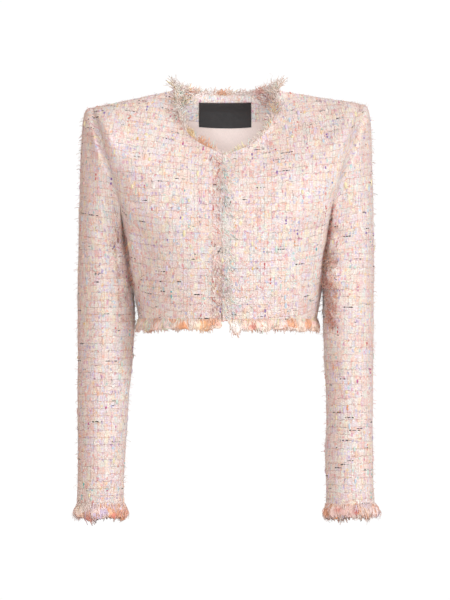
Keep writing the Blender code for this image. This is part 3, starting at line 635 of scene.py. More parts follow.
def shell(name, points, normals, flat, wall, materials, inset=0.0):
    """Closed cloth wall.  The first material is outside, the last one inside."""
    rows, columns = points.shape[:2]
    count = rows * columns
    sides = [(points - normals * depth).reshape(-1, 3) for depth in (inset, inset + wall)]
    faces = grid_faces(rows, columns)
    index = np.arange(count).reshape(rows, columns)
    rims = [np.stack([line[:-1], line[1:], line[1:] + count, line[:-1] + count], axis=-1)
            for line in (index[0], index[-1], index[:, 0], index[:, -1])]
    thing = put_on(name, np.concatenate(sides), np.concatenate([faces, faces[:, ::-1] + count] + rims))
    mesh = thing.data
    corners = np.zeros(len(mesh.loops), np.int32)
    mesh.loops.foreach_get("vertex_index", corners)
    mesh.uv_layers.new(name="thread").data.foreach_set("uv", flat.reshape(-1, 2)[corners % count].ravel())
    slots = np.zeros(len(mesh.polygons), np.int32)
    slots[len(faces):2 * len(faces)] = len(materials) - 1
    mesh.polygons.foreach_set("material_index", slots)
    for material in materials:
        mesh.materials.append(material)
    work = bmesh.new()
    work.from_mesh(mesh)
    bmesh.ops.recalc_face_normals(work, faces=work.faces)
    work.to_mesh(mesh)
    work.free()
    mesh.shade_smooth()
    mesh.set_sharp_from_angle(angle=math.radians(60))
    return thing


def skin(name, sheets, face=None):
    """Outer faces of cloth grids, for what grows on them: (points, normals, warp).

    face: where the flat sides of strands look, if that isn't out of the cloth.
    """
    faces, count = [], 0
    for points, normals, warp in sheets:
        faces.append(grid_faces(*points.shape[:2]) + count)
        count += points.shape[0] * points.shape[1]
    points, out, lay = [np.concatenate([sheet[part].reshape(-1, 3) for sheet in sheets]) for part in range(3)]
    thing = put_on(name, points, np.concatenate(faces))
    add_values(thing.data, out=out, face=out if face is None else np.tile(unit(np.array(face, float)), (count, 1)),
               lay=lay, reach=np.full(count, MM), lean=np.zeros(count), grow=np.ones(count))
    return thing


def ribbon(name, points, lay, out, reach, lean, width=0.0, uneven=0.3, far=None, fade=1.0, core=None, closed=False,
           crowd=1.0, face=None):
    """Narrow strip that strands grow from, with what each place asks of them.

    lay: the way that strands run.  out: away from the cloth.  reach: their
    length in mm.  lean: degrees from lay towards out.  uneven: share of their
    length by which clumps differ.  far: the strip's other side, if it isn't
    width behind the points, with fade as its share of strands.  core: how far
    the tips tuck back, where a folded core of matted yarn fills the strands.
    crowd: how many times as many strands grow at each point of the strip.
    face: where their flat sides look, if that isn't out.
    """
    lay, out = [np.broadcast_to(part, points.shape) for part in (lay, out)]
    reach = reach * (1.0 + uneven * noises(points / CLUMP_SPAN))
    lean = np.radians(lean * (1.0 + CLUMP_LEAN * noises((points + 50.0) / CLUMP_SPAN)))
    if closed:
        points, lay, out, reach, lean = [np.concatenate([part, part[:1]]) for part in (points, lay, out, reach, lean)]
    lay = unit(lay - out * dot(lay, out))
    rows, along = [points - lay * width if far is None else far, points], [0.0, 0.0]
    if core is not None:
        aim = lay * np.cos(lean)[:, None] + out * np.sin(lean)[:, None]
        for place in CORE.rows:
            share = place["along"]
            wave = noises((points + 20.0 * share) / RUFFLE_SPAN)
            wave[-1] = wave[0] if closed else wave[-1]
            rows.append(points + (aim * share - out * core * share * share) * reach[:, None]
                        + out * (place["lift"] + RUFFLE * share * wave)[:, None])
            along.append(share)
    count, height = len(points), len(rows)
    thing = put_on(name, np.concatenate(rows), grid_faces(height, count))
    tiled = np.tile(out, (height, 1))
    faced = tiled if face is None else np.tile(unit(np.array(face, float)), (height * count, 1))
    grown = np.tile(crowd * np.ones(count), height) * np.repeat([fade, 1.0] + [0.0] * (height - 2), count)
    add_values(thing.data, out=tiled, lay=np.tile(lay, (height, 1)), face=faced, reach=np.tile(reach * MM, height),
               lean=np.tile(lean, height), grow=grown, along=np.repeat(along, count),
               shade=np.full(count * height, 0.5))
    return thing


# ---------------------------------------------------------------- node trees

def operator(operation, reflected=False):
    """Method of Wire that adds a Math node."""
    if reflected:
        return lambda self, other: self.math_node(operation, other, self)
    return lambda self, other: self.math_node(operation, self, other)


class Wire:
    """One socket of a node tree.  Its operators add Math nodes to the tree."""

    def __init__(self, tree, socket=None):
        self.tree = tree
        self.socket = socket

    def make(self, kind, inputs=None, output=None, **settings):
        """Any node: its type, the values or links of its sockets, and its settings."""
        node = self.tree.nodes.new(kind)
        for name, value in settings.items():
            if name == "stops":
                elements = node.color_ramp.elements
                while len(elements) < len(value):
                    elements.new(1.0)
                while len(elements) > len(value):
                    elements.remove(elements[-1])
                for element, (place, colour) in zip(elements, value):
                    element.position = place
                    element.color = (*colour, 1.0)
            elif name == "steps":
                node.color_ramp.interpolation = value
            else:
                setattr(node, name, value)
        for key, value in (inputs or {}).items():
            plug = node.inputs[key] if isinstance(key, int) else next(
                socket for socket in node.inputs if socket.name == key and socket.enabled)
            if isinstance(value, Wire):
                self.tree.links.new(value.socket, plug)
            else:
                plug.default_value = value
        outlets = [socket for socket in node.outputs if socket.enabled and output in (None, socket.name)]
        return Wire(self.tree, outlets[0] if outlets else None)

    def __getitem__(self, name):
        return Wire(self.tree, self.socket.node.outputs[name])

    def math_node(self, operation, *values):
        return self.make("ShaderNodeMath", dict(enumerate(values)), operation=operation)

    __add__, __radd__ = operator("ADD"), operator("ADD", True)
    __sub__, __rsub__ = operator("SUBTRACT"), operator("SUBTRACT", True)
    __mul__, __rmul__ = operator("MULTIPLY"), operator("MULTIPLY", True)
    __truediv__, __rtruediv__ = operator("DIVIDE"), operator("DIVIDE", True)
    __lt__, __gt__ = operator("LESS_THAN"), operator("GREATER_THAN")

    def maths(self, operation, *others):
        return self.math_node(operation, self, *others)

    def vector(self, operation, *others):
        return self.make("ShaderNodeVectorMath", dict(enumerate((self, *others))), operation=operation)

    def scale(self, factor):
        return self.make("ShaderNodeVectorMath", {0: self, 3: factor}, operation="SCALE")

    def along(self, direction):
        """A direction times this number."""
        return self.make("ShaderNodeVectorMath", {0: direction, 3: self}, operation="SCALE")

    def xyz(self):
        return self.make("ShaderNodeSeparateXYZ", {"Vector": self})

    def mix(self, first, second):
        """Colours first and second, shared out by this factor."""
        return self.make("ShaderNodeMix", {"Factor": self, "A": first, "B": second}, data_type="RGBA")

    def shaded(self, light, green, blue):
        """This colour times light, with shares of it for green and blue."""
        grey = self.make("ShaderNodeCombineColor", {0: light, 1: light * green, 2: light * blue})
        return self.make("ShaderNodeMix", {"Factor": 1.0, "A": self, "B": grey}, data_type="RGBA",
                         blend_type="MULTIPLY")

    def ramp(self, stops, steps="CONSTANT"):
        return self.make("ShaderNodeValToRGB", {"Fac": self}, steps=steps, stops=stops)

    def spread(self, low, high, first=0.0, last=1.0):
        """This value taken from low..high to first..last, and held there."""
        return self.make("ShaderNodeMapRange", {"Value": self, "From Min": low, "From Max": high, "To Min": first,
                                                "To Max": last})

    def noise(self, scale, detail, output="Fac", size="2D", **others):
        """Noise at this place."""
        return self.make("ShaderNodeTexNoise", {"Vector": self, "Scale": scale, "Detail": detail, **others}, output,
                         noise_dimensions=size)

    def voronoi(self, scale, output, size):
        return self.make("ShaderNodeTexVoronoi", {"Vector": self, "Scale": scale, "Randomness": 1.0}, output,
                         voronoi_dimensions=size)

    def field(self, name, kind="FLOAT"):
        """An attribute, in Geometry Nodes."""
        return self.make("GeometryNodeInputNamedAttribute", {"Name": name}, "Attribute", data_type=kind)

    def chance(self, low, high, seed):
        """A random value for each element, where this wire has the tree's seed."""
        return self.make("FunctionNodeRandomValue", {"Min": low, "Max": high, "Seed": self["Seed"] + seed},
                         data_type="FLOAT")

    def keep(self, name, value, kind="FLOAT"):
        """This geometry with a value stored on its points."""
        return self.make("GeometryNodeStoreNamedAttribute", {"Geometry": self, "Name": name, "Value": value},
                         data_type=kind, domain="POINT")


def linear(colour):
    """sRGB, 0 to 255, as linear light."""
    shares = [channel / 255.0 for channel in colour]
    return tuple(c / 12.92 if c <= 0.04045 else ((c + 0.055) / 1.055) ** 2.4 for c in shares)


def dyed(shares):
    """Stops of a ramp that give each dye its share."""
    deep = bpy.context.scene.jacket_cloth.depth
    words = shares.split()
    parts = [int(share) / 100 for share in words[1::2]]
    starts = np.cumsum([0.0] + parts[:-1]) / sum(parts)
    return [(start, tuple(c * deep for c in linear(DYES[name]))) for start, name in zip(starts, words[::2])]


def new_material(name):
    material = bpy.data.materials.new(name)
    material.use_nodes = True
    return material, Wire(material.node_tree), material.node_tree.nodes["Principled BSDF"]


def finish_cloth(shader, colour, height, strength, distance, roughness, sheen):
    """Join colour and relief to the shader, with its constant finish."""
    bump = colour.make("ShaderNodeBump", {"Strength": strength, "Distance": distance, "Height": height})
    colour.tree.links.new(colour.socket, shader.inputs["Base Color"])
    colour.tree.links.new(bump.socket, shader.inputs["Normal"])
    for name, value in (("Roughness", roughness), ("Specular IOR Level", 0.25), ("Sheen Weight", sheen),
                        ("Sheen Roughness", 0.5)):
        shader.inputs[name].default_value = value


def tweed_material(name):
    """Plain weave of space-dyed yarns between thin bright rows and posts, with painted shade between the yarns."""
    material, tree, shader = new_material(name)
    yarns = tree.make("ShaderNodeUVMap", uv_map="thread").scale(1.0 / bpy.context.scene.jacket_cloth.pitch)
    drift = yarns.noise(0.38, 2.0, "Color").vector("SUBTRACT", (0.5, 0.5, 0.5)).scale(1.9)
    yarns = yarns.vector("ADD", drift)
    place = yarns.xyz()
    u, v = place["X"], place["Y"]
    warp, weft = u.maths("FLOOR"), v.maths("FLOOR")
    across_warp, across_weft = (u - warp) * 2.0 - 1.0, (v - weft) * 2.0 - 1.0
    round_warp, round_weft = 1.0 - across_warp * across_warp, 1.0 - across_weft * across_weft
    over = (warp + weft).maths("FLOORED_MODULO", 2.0)

    def chance(across, along, seed):
        """A random value for each cell of the cloth."""
        cell = tree.make("ShaderNodeCombineXYZ", {"X": across, "Y": along, "Z": seed})
        return tree.make("ShaderNodeTexWhiteNoise", {"Vector": cell}, "Value", noise_dimensions="3D")

    def lengths(yarn, along, size, seed):
        """A random value for each length of each yarn."""
        return chance(yarn, (along / size + yarn * 0.618).maths("FLOOR"), seed)

    colour = over.mix(lengths(weft, u, 4.5, 5.0).ramp(dyed(WEFT_DYES)),
                      lengths(warp, v, 4.0, 0.0).ramp(dyed(WARP_DYES)))
    height = (over * round_warp * (0.45 + 0.55 * round_weft)
              + (1.0 - over) * round_weft * (0.45 + 0.55 * round_warp))
    fluff = yarns.noise(1.3, 4.0, Roughness=0.7)
    tint = yarns.noise(0.12, 2.0)
    colour = (0.35 * height).mix(colour, tint.spread(0.32, 0.68).ramp(dyed(TINT_DYES), "LINEAR"))

    patch = chance((u / POST_YARNS).maths("FLOOR"), (v / ROW_YARNS).maths("FLOOR"), 3.0)
    soft = fluff.spread(0.35, 0.6) * (patch > 0.58) * 0.52
    colour = soft.mix(colour, patch.spread(0.58, 1.0).ramp(dyed(PATCH_DYES)))

    post = lengths((u / POST_YARNS).maths("ROUND"), v, 7.0, 13.0)
    thin_post = u.maths("PINGPONG", POST_YARNS / 2).spread(0.12, 0.42, 1.0, 0.0) * (post > 0.30)
    colour = (thin_post * fluff.spread(0.35, 0.65, 0.0, 0.60)).mix(
        colour, post.spread(0.30, 1.0).ramp(dyed(POST_DYES)))
    row = lengths((v / ROW_YARNS).maths("ROUND"), u, 4.0, 9.0)
    thin_row = v.maths("PINGPONG", ROW_YARNS / 2).spread(0.10, 0.42, 1.0, 0.0) * (row > 0.22)
    breaks = yarns.noise(0.62, 1.0).spread(0.38, 0.62)
    colour = (thin_row * breaks * fluff.spread(0.35, 0.6, 0.0, 0.9)).mix(
        colour, row.spread(0.22, 1.0).ramp(dyed(ROW_DYES)))

    # Painted shade: darker where the yarns sink between crossings. The fluff adds a random tone, and the thin rows and
    # posts are a little darker.
    shade = height.spread(0.0, 0.85, 0.82, 1.0) * fluff.spread(0.25, 0.7, 0.84, 1.05)
    shade = shade * (1.0 - 0.10 * thin_row) * (1.0 - 0.06 * thin_post)
    nep = yarns.vector("MULTIPLY", (1.0, 0.6, 1.0)).voronoi(0.40, "Distance", "2D")
    pick = tree.make("ShaderNodeSeparateColor", {"Color": nep["Color"]})
    spot = nep.spread(0.14, 0.28, 1.0, 0.0) * (pick["Red"] > 0.5)
    colour = (spot * 0.5).mix(colour.shaded(shade, 0.985, 0.975), pick["Green"].ramp(dyed(NEP_DYES)))
    relief = height * 0.7 + fluff * 0.9 + spot * 0.3 - thin_row * 0.35 - thin_post * 0.2
    finish_cloth(shader, colour, relief, 0.7, 0.0011, 0.95, 0.18)
    return material


def yarn_material(name, shares, clump=10.0, loose=2.0, root_shade=0.86, piece=None, steps="CONSTANT"):
    """Frayed yarn whose dye changes from clump to clump and strand to strand, with painted shade towards each root."""
    material, tree, shader = new_material(name)
    place = tree.make("ShaderNodeTexCoord", {}, "Object")
    group = tree.make("ShaderNodeSeparateColor", {"Color": place.voronoi(1.0 / clump, "Color", "3D")}, "Red")
    single, along = [tree.make("ShaderNodeAttribute", {}, "Fac", attribute_name=title) for title in ("shade", "along")]
    colour = (group + (single - 0.5) * loose).maths("PINGPONG", 1.0).ramp(dyed(shares), steps)
    for accent in ACCENTS[piece].rows if piece else ():
        radius = accent["radius"] * MM
        away = place.vector("DISTANCE", tuple(accent[axis] * MM for axis in "xyz"))
        near = (away + (single - 0.5) * radius).spread(radius * 0.6, radius, accent["share"], 0.0)
        colour = near.mix(colour, (*linear(DYES[accent["dye"]]), 1.0))
    fibre = place.noise(2200.0, 2.0, size="3D")
    # Painted shade: darker towards each strand's root by root_shade, times a random fibre tone.
    light = along.spread(0.0, 0.6, root_shade, 1.0) * fibre.spread(0.3, 0.7, 0.86, 1.06)
    finish_cloth(shader, colour.shaded(light, 0.985, 0.97), fibre, 0.5, 0.0003, 0.95, 0.2)
    return material


def satin_material(name):
    """Smooth lining: fine floats and soft wrinkles."""
    material, tree, shader = new_material(name)
    flat = tree.make("ShaderNodeUVMap", uv_map="thread")
    floats = flat.vector("MULTIPLY", (4200.0, 260.0, 1.0)).noise(1.0, 1.0)
    base = tuple(bpy.context.scene.jacket_cloth.lining_colour)
    tone = floats.spread(0.3, 0.7).mix((*(c * 0.86 for c in base), 1.0), (*base, 1.0))
    finish_cloth(shader, tone, floats * 0.06 + flat.noise(34.0, 2.0), 0.5, 0.003, 0.36, 0.0)
    return material


def label_material(name):
    """Damask tape: a close twill, with plain woven borders."""
    material, tree, shader = new_material(name)
    place = tree.make("ShaderNodeUVMap", uv_map="thread").xyz()
    u, v = place["X"] * 1000.0, place["Y"] * 1000.0
    twill = ((u + v) / 0.8).maths("PINGPONG", 1.0)
    rib = (v / 0.45).maths("PINGPONG", 1.0)
    middle = (LABEL_TOP - LABEL_BOTTOM) / 2
    border = (v - middle).maths("ABSOLUTE") > middle - 1.6
    weave = border * rib + (1.0 - border) * twill
    base = tuple(bpy.context.scene.jacket_cloth.label_colour)
    tone = (0.35 + 0.65 * weave).mix((*base, 1.0), (*(c * 1.7 for c in base), 1.0))
    finish_cloth(shader, tone, weave, 0.5, 0.0002, 0.5, 0.1)
    return material


def new_tree(name, **sockets):
    """Geometry Nodes tree, and the wire of its inputs, named for each kind of socket."""
    tree = bpy.data.node_groups.new(name, "GeometryNodeTree")
    tree.interface.new_socket(name="Geometry", in_out="OUTPUT", socket_type="NodeSocketGeometry")
    for kind, titles in sockets.items():
        for title in titles.split(", "):
            tree.interface.new_socket(name=title, in_out="INPUT", socket_type="NodeSocket" + kind)
    return tree, Wire(tree).make("NodeGroupInput")


def close_tree(tree, geometry, material):
    """Give the material, which ends every tree here."""
    finished = geometry.make("GeometryNodeSetMaterial", {"Geometry": geometry, "Material": material})
    finished.make("NodeGroupOutput", {0: finished})
    return tree


def strand_tree():
    """Tapered, curling strands that grow from a strip along its own lay."""
    tree, given = new_tree(
        "jacket_strands", Geometry="Strip", Int="Seed, Bends", Bool="Core", Material="Material",
        Float="Density, Radius, Radius Variation, Reach Scale, Reach Variation, Scatter, Lean, Lean Variation, "
              "Curl, Twist, Taper, Clump, Looseness, Droop, Tuck")
    line = given.make("GeometryNodeCurvePrimitiveLine", {"Start": (0, 0, 0), "End": (0, 0, 1)})
    line = given.make("GeometryNodeResampleCurve", {"Curve": line, "Count": given["Bends"]})
    ring = given.make("GeometryNodeCurvePrimitiveCircle", {"Resolution": 3, "Radius": 1.0})
    strand = given.make("GeometryNodeCurveToMesh", {"Curve": line, "Profile Curve": ring, "Fill Caps": True})
    where = given.make("GeometryNodeInputPosition")
    rise = where.xyz()["Z"]
    strand = given.make("GeometryNodeSetPosition", {
        "Geometry": strand.keep("along", rise),
        "Offset": where.vector("MULTIPLY", (-1.0, -1.0, 0.0)).scale(rise * rise * given["Taper"])})

    points = given.make("GeometryNodeDistributePointsOnFaces",
                        {"Mesh": given["Strip"], "Density": given["Density"] * given.field("grow"),
                         "Seed": given["Seed"]}, "Points", distribute_method="RANDOM")
    out = given.field("out", "FLOAT_VECTOR")
    lay = given.make("ShaderNodeVectorRotate",
                     {"Vector": given.field("lay", "FLOAT_VECTOR"), "Axis": out,
                      "Angle": given.chance(-1.0, 1.0, 1) * given["Scatter"]}, rotation_type="AXIS_ANGLE")
    lean = given.field("lean") + given["Lean"] + given.chance(-1.0, 1.0, 2) * given["Lean Variation"]
    aim = lean.maths("COSINE").along(lay).vector("ADD", lean.maths("SINE").along(out))
    length = (given.field("reach") * given["Reach Scale"]
              * (1.0 + given.chance(-1.0, 1.0, 3) * given["Reach Variation"]))
    radius = given["Radius"] * (1.0 + given.chance(-1.0, 1.0, 4) * given["Radius Variation"])
    turn = given.make("FunctionNodeAxesToRotation",
                      {"Primary Axis": aim, "Secondary Axis": given.field("face", "FLOAT_VECTOR").scale(-1.0)},
                      primary_axis="Z", secondary_axis="X")
    points = points.keep("root", where, "FLOAT_VECTOR")
    points = points.keep("shade", given.chance(0.0, 1.0, 5)).keep("long", length)
    size = given.make("ShaderNodeCombineXYZ", {"X": radius * 0.55, "Y": radius, "Z": length})
    strands = given.make("GeometryNodeInstanceOnPoints", {"Points": points, "Instance": strand, "Rotation": turn,
                                                          "Scale": size})
    strands = given.make("GeometryNodeRealizeInstances", {"Geometry": strands})
    along, shade, long = [given.field(name) for name in ("along", "shade", "long")]
    root = given.field("root", "FLOAT_VECTOR").scale(1.0 / given["Clump"])
    root = root.vector("ADD", (shade * given["Looseness"]).along((1.0, 1.7, 0.6)))
    wave = root.noise(1.0, 1.0, "Color", "4D", W=along * given["Twist"]).vector("SUBTRACT", (0.5, 0.5, 0.5))
    bend = wave.scale(along * long * given["Curl"] * 2.0)
    reached = along * along * long
    sag = (reached * given["Droop"]).along((0.0, 0.0, -1.0)).vector(
        "SUBTRACT", (reached * given["Tuck"]).along(given.field("out", "FLOAT_VECTOR")))
    strands = given.make("GeometryNodeSetPosition", {"Geometry": strands, "Offset": bend.vector("ADD", sag)})
    matted = given.make("GeometryNodeSetShadeSmooth", {"Geometry": given["Strip"]})
    core = given.make("GeometryNodeSwitch", {"Switch": given["Core"], "True": matted}, input_type="GEOMETRY")
    joined = given.make("GeometryNodeJoinGeometry")
    for part in (strands, core):
        tree.links.new(part.socket, joined.socket.node.inputs[0])
    return close_tree(tree, joined, given["Material"])


def slub_tree():
    """Rows of small lumps of yarn, laid on the cloth along or across its warp."""
    tree, given = new_tree("jacket_slubs", Geometry="Cloth", Float="Density, Radius, Length, Gap, Turn",
                           Int="Lumps, Seed", Material="Material")
    points = given.make("GeometryNodeDistributePointsOnFaces",
                        {"Mesh": given["Cloth"], "Density": given["Density"], "Seed": given["Seed"]}, "Points",
                        distribute_method="RANDOM").keep("shade", given.chance(0.0, 1.0, 1))
    row = given.make("GeometryNodeDuplicateElements",
                     {"Geometry": points, "Amount": given.chance(1.0, given["Lumps"] + 0.9, 5)}, "Geometry",
                     domain="POINT")
    out = given.field("out", "FLOAT_VECTOR")
    lay = given.make("ShaderNodeVectorRotate", {"Vector": given.field("lay", "FLOAT_VECTOR"), "Axis": out,
                                                "Angle": given["Turn"]}, rotation_type="AXIS_ANGLE")
    order = row["Duplicate Index"] + given.chance(-0.3, 0.3, 2)
    row = given.make("GeometryNodeSetPosition", {"Geometry": row, "Offset": lay.scale(order * given["Gap"])})
    nearest = given.make("GeometryNodeProximity", {"Geometry": given["Cloth"]}, "Position", target_element="FACES")
    row = given.make("GeometryNodeSetPosition", {"Geometry": row, "Position": nearest})
    ball = given.make("GeometryNodeMeshUVSphere", {"Segments": 6, "Rings": 5, "Radius": 1.0}, "Mesh")
    plump = given["Radius"] * given.chance(0.45, 1.4, 3)
    size = given.make("ShaderNodeCombineXYZ", {"X": plump * 0.7, "Y": plump,
                                               "Z": given["Length"] * given.chance(0.5, 1.35, 4)})
    turn = given.make("FunctionNodeAxesToRotation", {"Primary Axis": lay, "Secondary Axis": out},
                      primary_axis="Z", secondary_axis="X")
    lumps = given.make("GeometryNodeInstanceOnPoints", {"Points": row, "Instance": ball, "Rotation": turn,
                                                        "Scale": size})
    lumps = given.make("GeometryNodeRealizeInstances", {"Geometry": lumps})
    lumps = given.make("GeometryNodeSetShadeSmooth", {"Geometry": lumps})
    return close_tree(tree, lumps, given["Material"])


def grow(base, name, tree, nodes=(), slot="tweed", **values):
    """Run a tree on a base mesh, and keep the plain result as a piece."""
    thing = bpy.data.objects.new(name, base.data.copy())
    bpy.context.scene.collection.objects.link(thing)
    step = thing.modifiers.new("grow", "NODES")
    step.node_group = tree
    for item in tree.interface.items_tree:
        title = item.name.lower().replace(" ", "_")
        if item.item_type == "SOCKET" and item.in_out == "INPUT" and title in values:
            step[item.identifier] = values.pop(title)
    if values:
        raise RuntimeError("the tree has no input for " + ", ".join(sorted(values)))
    graph = bpy.context.evaluated_depsgraph_get()
    made = bpy.data.meshes.new_from_object(thing.evaluated_get(graph), preserve_all_data_layers=True, depsgraph=graph)
    thing.modifiers.remove(step)
    thing.data = made
    if not made.polygons:
        raise RuntimeError(name + " came out empty")
    return ride(thing, nodes, slot)


# ---------------------------------------------------------------- settings

class JacketClothSettings(bpy.types.PropertyGroup):
    wall: FloatProperty(name="Wall", description="Thickness of the tweed", default=0.002, min=0.001, max=0.003,
                        unit="LENGTH")
    pitch: FloatProperty(name="Thread pitch", description="Distance from one yarn of the tweed to the next",
                         default=0.0026, min=0.001, max=0.006, unit="LENGTH")
    depth: FloatProperty(name="Depth of dye", description="Share of light that the palest yarn gives back",
                         default=1.0, min=0.3, max=1.0, subtype="FACTOR")
    lining_colour: FloatVectorProperty(name="Lining", description="Colour of the satin lining", size=3, min=0.0,
                                       max=1.0, default=(0.83, 0.665, 0.605), subtype="COLOR")
    label_colour: FloatVectorProperty(name="Label", description="Colour of the bare label", size=3, min=0.0,
                                      max=1.0, default=(0.0165, 0.0135, 0.013), subtype="COLOR")
    bright: FloatProperty(name="Bright slubs", description="Bright slubs on each square metre", default=500.0, min=0.0)
    soft: FloatProperty(name="Soft slubs", description="Pale slubs on each square metre", default=750.0, min=0.0)
    black: FloatProperty(name="Dashes", description="Rows of black slub on each square metre", default=560.0, min=0.0)
    ends: FloatProperty(name="Yarn ends", description="Loose yarn ends on each square metre", default=13000.0,
                        min=0.0)


class JacketFringeSettings(bpy.types.PropertyGroup):
    radius: FloatProperty(name="Yarn radius", description="Radius of a frayed yarn at its root", default=0.0009,
                          min=0.0001, max=0.002, unit="LENGTH")
    strands: FloatProperty(name="Strands", description="Strands on each metre of edge", default=1900.0, min=100.0)
    hem: FloatProperty(name="Hem", description="Length of the hem fringe", default=0.0180, min=0.005, max=0.05,
                       unit="LENGTH")
    cuff: FloatProperty(name="Cuff", description="Length of the cuff fringe", default=0.0252, min=0.005, max=0.05,
                        unit="LENGTH")
    edge: FloatProperty(name="Front edge", description="Length of the fringe over the opening", default=0.020,
                        min=0.005, max=0.05, unit="LENGTH")
    seed: IntProperty(name="Seed", description="Changes where each strand grows", default=7, min=0)


class JacketStageSettings(bpy.types.PropertyGroup):
    floor_drop: FloatProperty(name="Floor", description="How far the floor lies under the shoulders", default=1.38,
                              min=0.7, max=3.0, unit="LENGTH")
    floor_colour: FloatVectorProperty(name="Floor colour", description="Colour of the plain floor", size=3, min=0.0,
                                      max=1.0, default=(0.86, 0.86, 0.86), subtype="COLOR")
    sky: FloatProperty(name="Surround", description="Light that the white surround casts", default=0.44, min=0.0,
                       max=2.0)
    sky_tone: FloatVectorProperty(name="Surround tone", description="Warmth of the light in the shadows", size=3,
                                  min=0.0, max=1.0, default=(1.0, 0.62, 0.45), subtype="COLOR")
    key: FloatProperty(name="Key light", description="Power of the soft light from the wearer's left", default=69.0,
                       min=0.0, unit="POWER")
    neck: FloatProperty(name="Neck light", description="Power of the lamp in the hollow that lights the back neck",
                        default=0.055, min=0.0, unit="POWER")
    key_tone: FloatVectorProperty(name="Key tone", description="Colour of the lights at the front", size=3,
                                  min=0.0, max=1.0, default=(0.81, 0.935, 1.0), subtype="COLOR")
    distance: FloatProperty(name="Camera", description="Distance of the camera from the jacket", default=6.0,
                            min=1.0, max=20.0, unit="LENGTH")


# ---------------------------------------------------------------- pieces

GROUND = {}             # cloth grids kept for what grows on them


def ride(thing, nodes=(), slot=None):
    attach(thing, "root")
    if nodes:
        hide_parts(*nodes)
    return thing


def cloth_materials():
    """The tweed and lining materials, made once."""
    return [bpy.data.materials.get(name) or make(name) for name, make in (
        ("tweed_cloth", tweed_material), ("satin_lining", satin_material))]


def cloth_piece(name, node, grid, laid, flat, wall, materials, inset=0.0, slot="tweed", held="stretched", **facts):
    """Shell of a cloth grid, as the piece that stands for a node."""
    piece = ride(shell(name, *grid, laid, wall, materials, inset), [node], slot)


def tweed_piece(node, points, normals, laid, warp, flat, area):
    """Outer cloth of the jacket, which slubs and loose ends then grow on."""
    cloth_piece("cloth_" + node, node, (points, normals), laid, flat, bpy.context.scene.jacket_cloth.wall / MM,
                cloth_materials(), area=area)
    GROUND[node] = (points, normals, warp)


def fringe_piece(base, name, node, slot, material, width, **values):
    """Strands on a ribbon, as the piece that stands for a fringe."""
    fringe = bpy.context.scene.jacket_fringe
    look = {"density": fringe.strands / (width * MM), "radius": fringe.radius, "radius_variation": 0.45,
            "reach_scale": 1.0, "reach_variation": 0.15, "scatter": 0.22, "lean": 0.0, "lean_variation": 0.2,
            "curl": 0.28, "twist": 2.4, "taper": 0.55, "clump": 0.006, "looseness": 0.5, "droop": 0.0,
            "tuck": 0.0, "bends": 7, "seed": fringe.seed, "core": False}
    strands(base, name, (node,) if node else (), slot, material=material, **{**look, **values})


def strands(base, name, nodes=(), slot="tweed", **values):
    """Strands on a base, which isn't needed after them."""
    tree = bpy.data.node_groups.get("jacket_strands") or strand_tree()
    grow(base, name, tree, nodes, slot, **values)
    bpy.data.objects.remove(base)


def panel_edge(row):
    """Edge of the fronts and back on one row, right front to left front."""
    parts = [[GROUND[name][part][row] for part in (0, 1)] for name in ("front_right", "back", "front_left")]
    return [np.concatenate([parts[0][part][:-1], parts[1][part][::-1], parts[2][part][::-1][1:]]) for part in (0, 1)]


# ---------------------------------------------------------------- operators

class JACKET_OT_body(bpy.types.Operator):
    """Two fronts and the back, as thin tweed shells"""
    bl_idname = "jacket.body"
    bl_label = "Fronts and back"

    def execute(self, context):
        for side, name in SIDES:
            points, normals = front_cloth(side, name)
            laid, warp = lay_flat(points, normals, 0, side)
            tweed_piece("front_" + name, points, normals, laid + np.array(FLAT_FRONT) * (side, 1.0), warp,
                        (0.235, 0.345), 0.064)
        at = torso_rows()
        points, normals = sew(*back_cloth(at, armhole_angle("back", at)))
        laid, warp = lay_flat(points, normals, points.shape[1] // 2, -1)
        tweed_piece("back", points, normals, laid + FLAT_BACK, warp, (0.43, 0.365), 0.139)
        return {"FINISHED"}


class JACKET_OT_sleeves(bpy.types.Operator):
    """Upper and under sleeve of each side, as thin tweed shells"""
    bl_idname = "jacket.sleeves"
    bl_label = "Sleeves"

    def execute(self, context):
        for side, name in SIDES:
            angles, points, normals, weft = sleeve_cloth(side)
            laid, warp = lay_flat(points, normals, int(np.argmin(np.abs(angles))), 1,
                                  np.broadcast_to(weft, points.shape))
            laid = laid + np.array(FLAT_SLEEVE) * (side, 1.0)
            first, last = [FINE * int(np.argmin(np.abs(angles[::FINE] - seam))) for seam in SEAM_ANGLES]
            join = laid[:, -1:] - laid[:, :1]

            def under(grid, step=0.0):
                return np.concatenate([grid[:, last:-1], grid[:, :first + 1] + step], axis=1)

            upper = [grid[:, first:last + 1] for grid in (points, normals, laid, warp)]
            lower = [under(points), under(normals), under(laid, join), under(warp)]
            for half, (spots, lean, flat, run), cut, area in (("upper", upper, (0.205, 0.610), 0.101),
                                                              ("under", lower, (0.125, 0.490), 0.0445)):
                tweed_piece(f"{half}_sleeve_{name}", *sew(spots.copy(), lean), flat, run, cut, area)
        return {"FINISHED"}


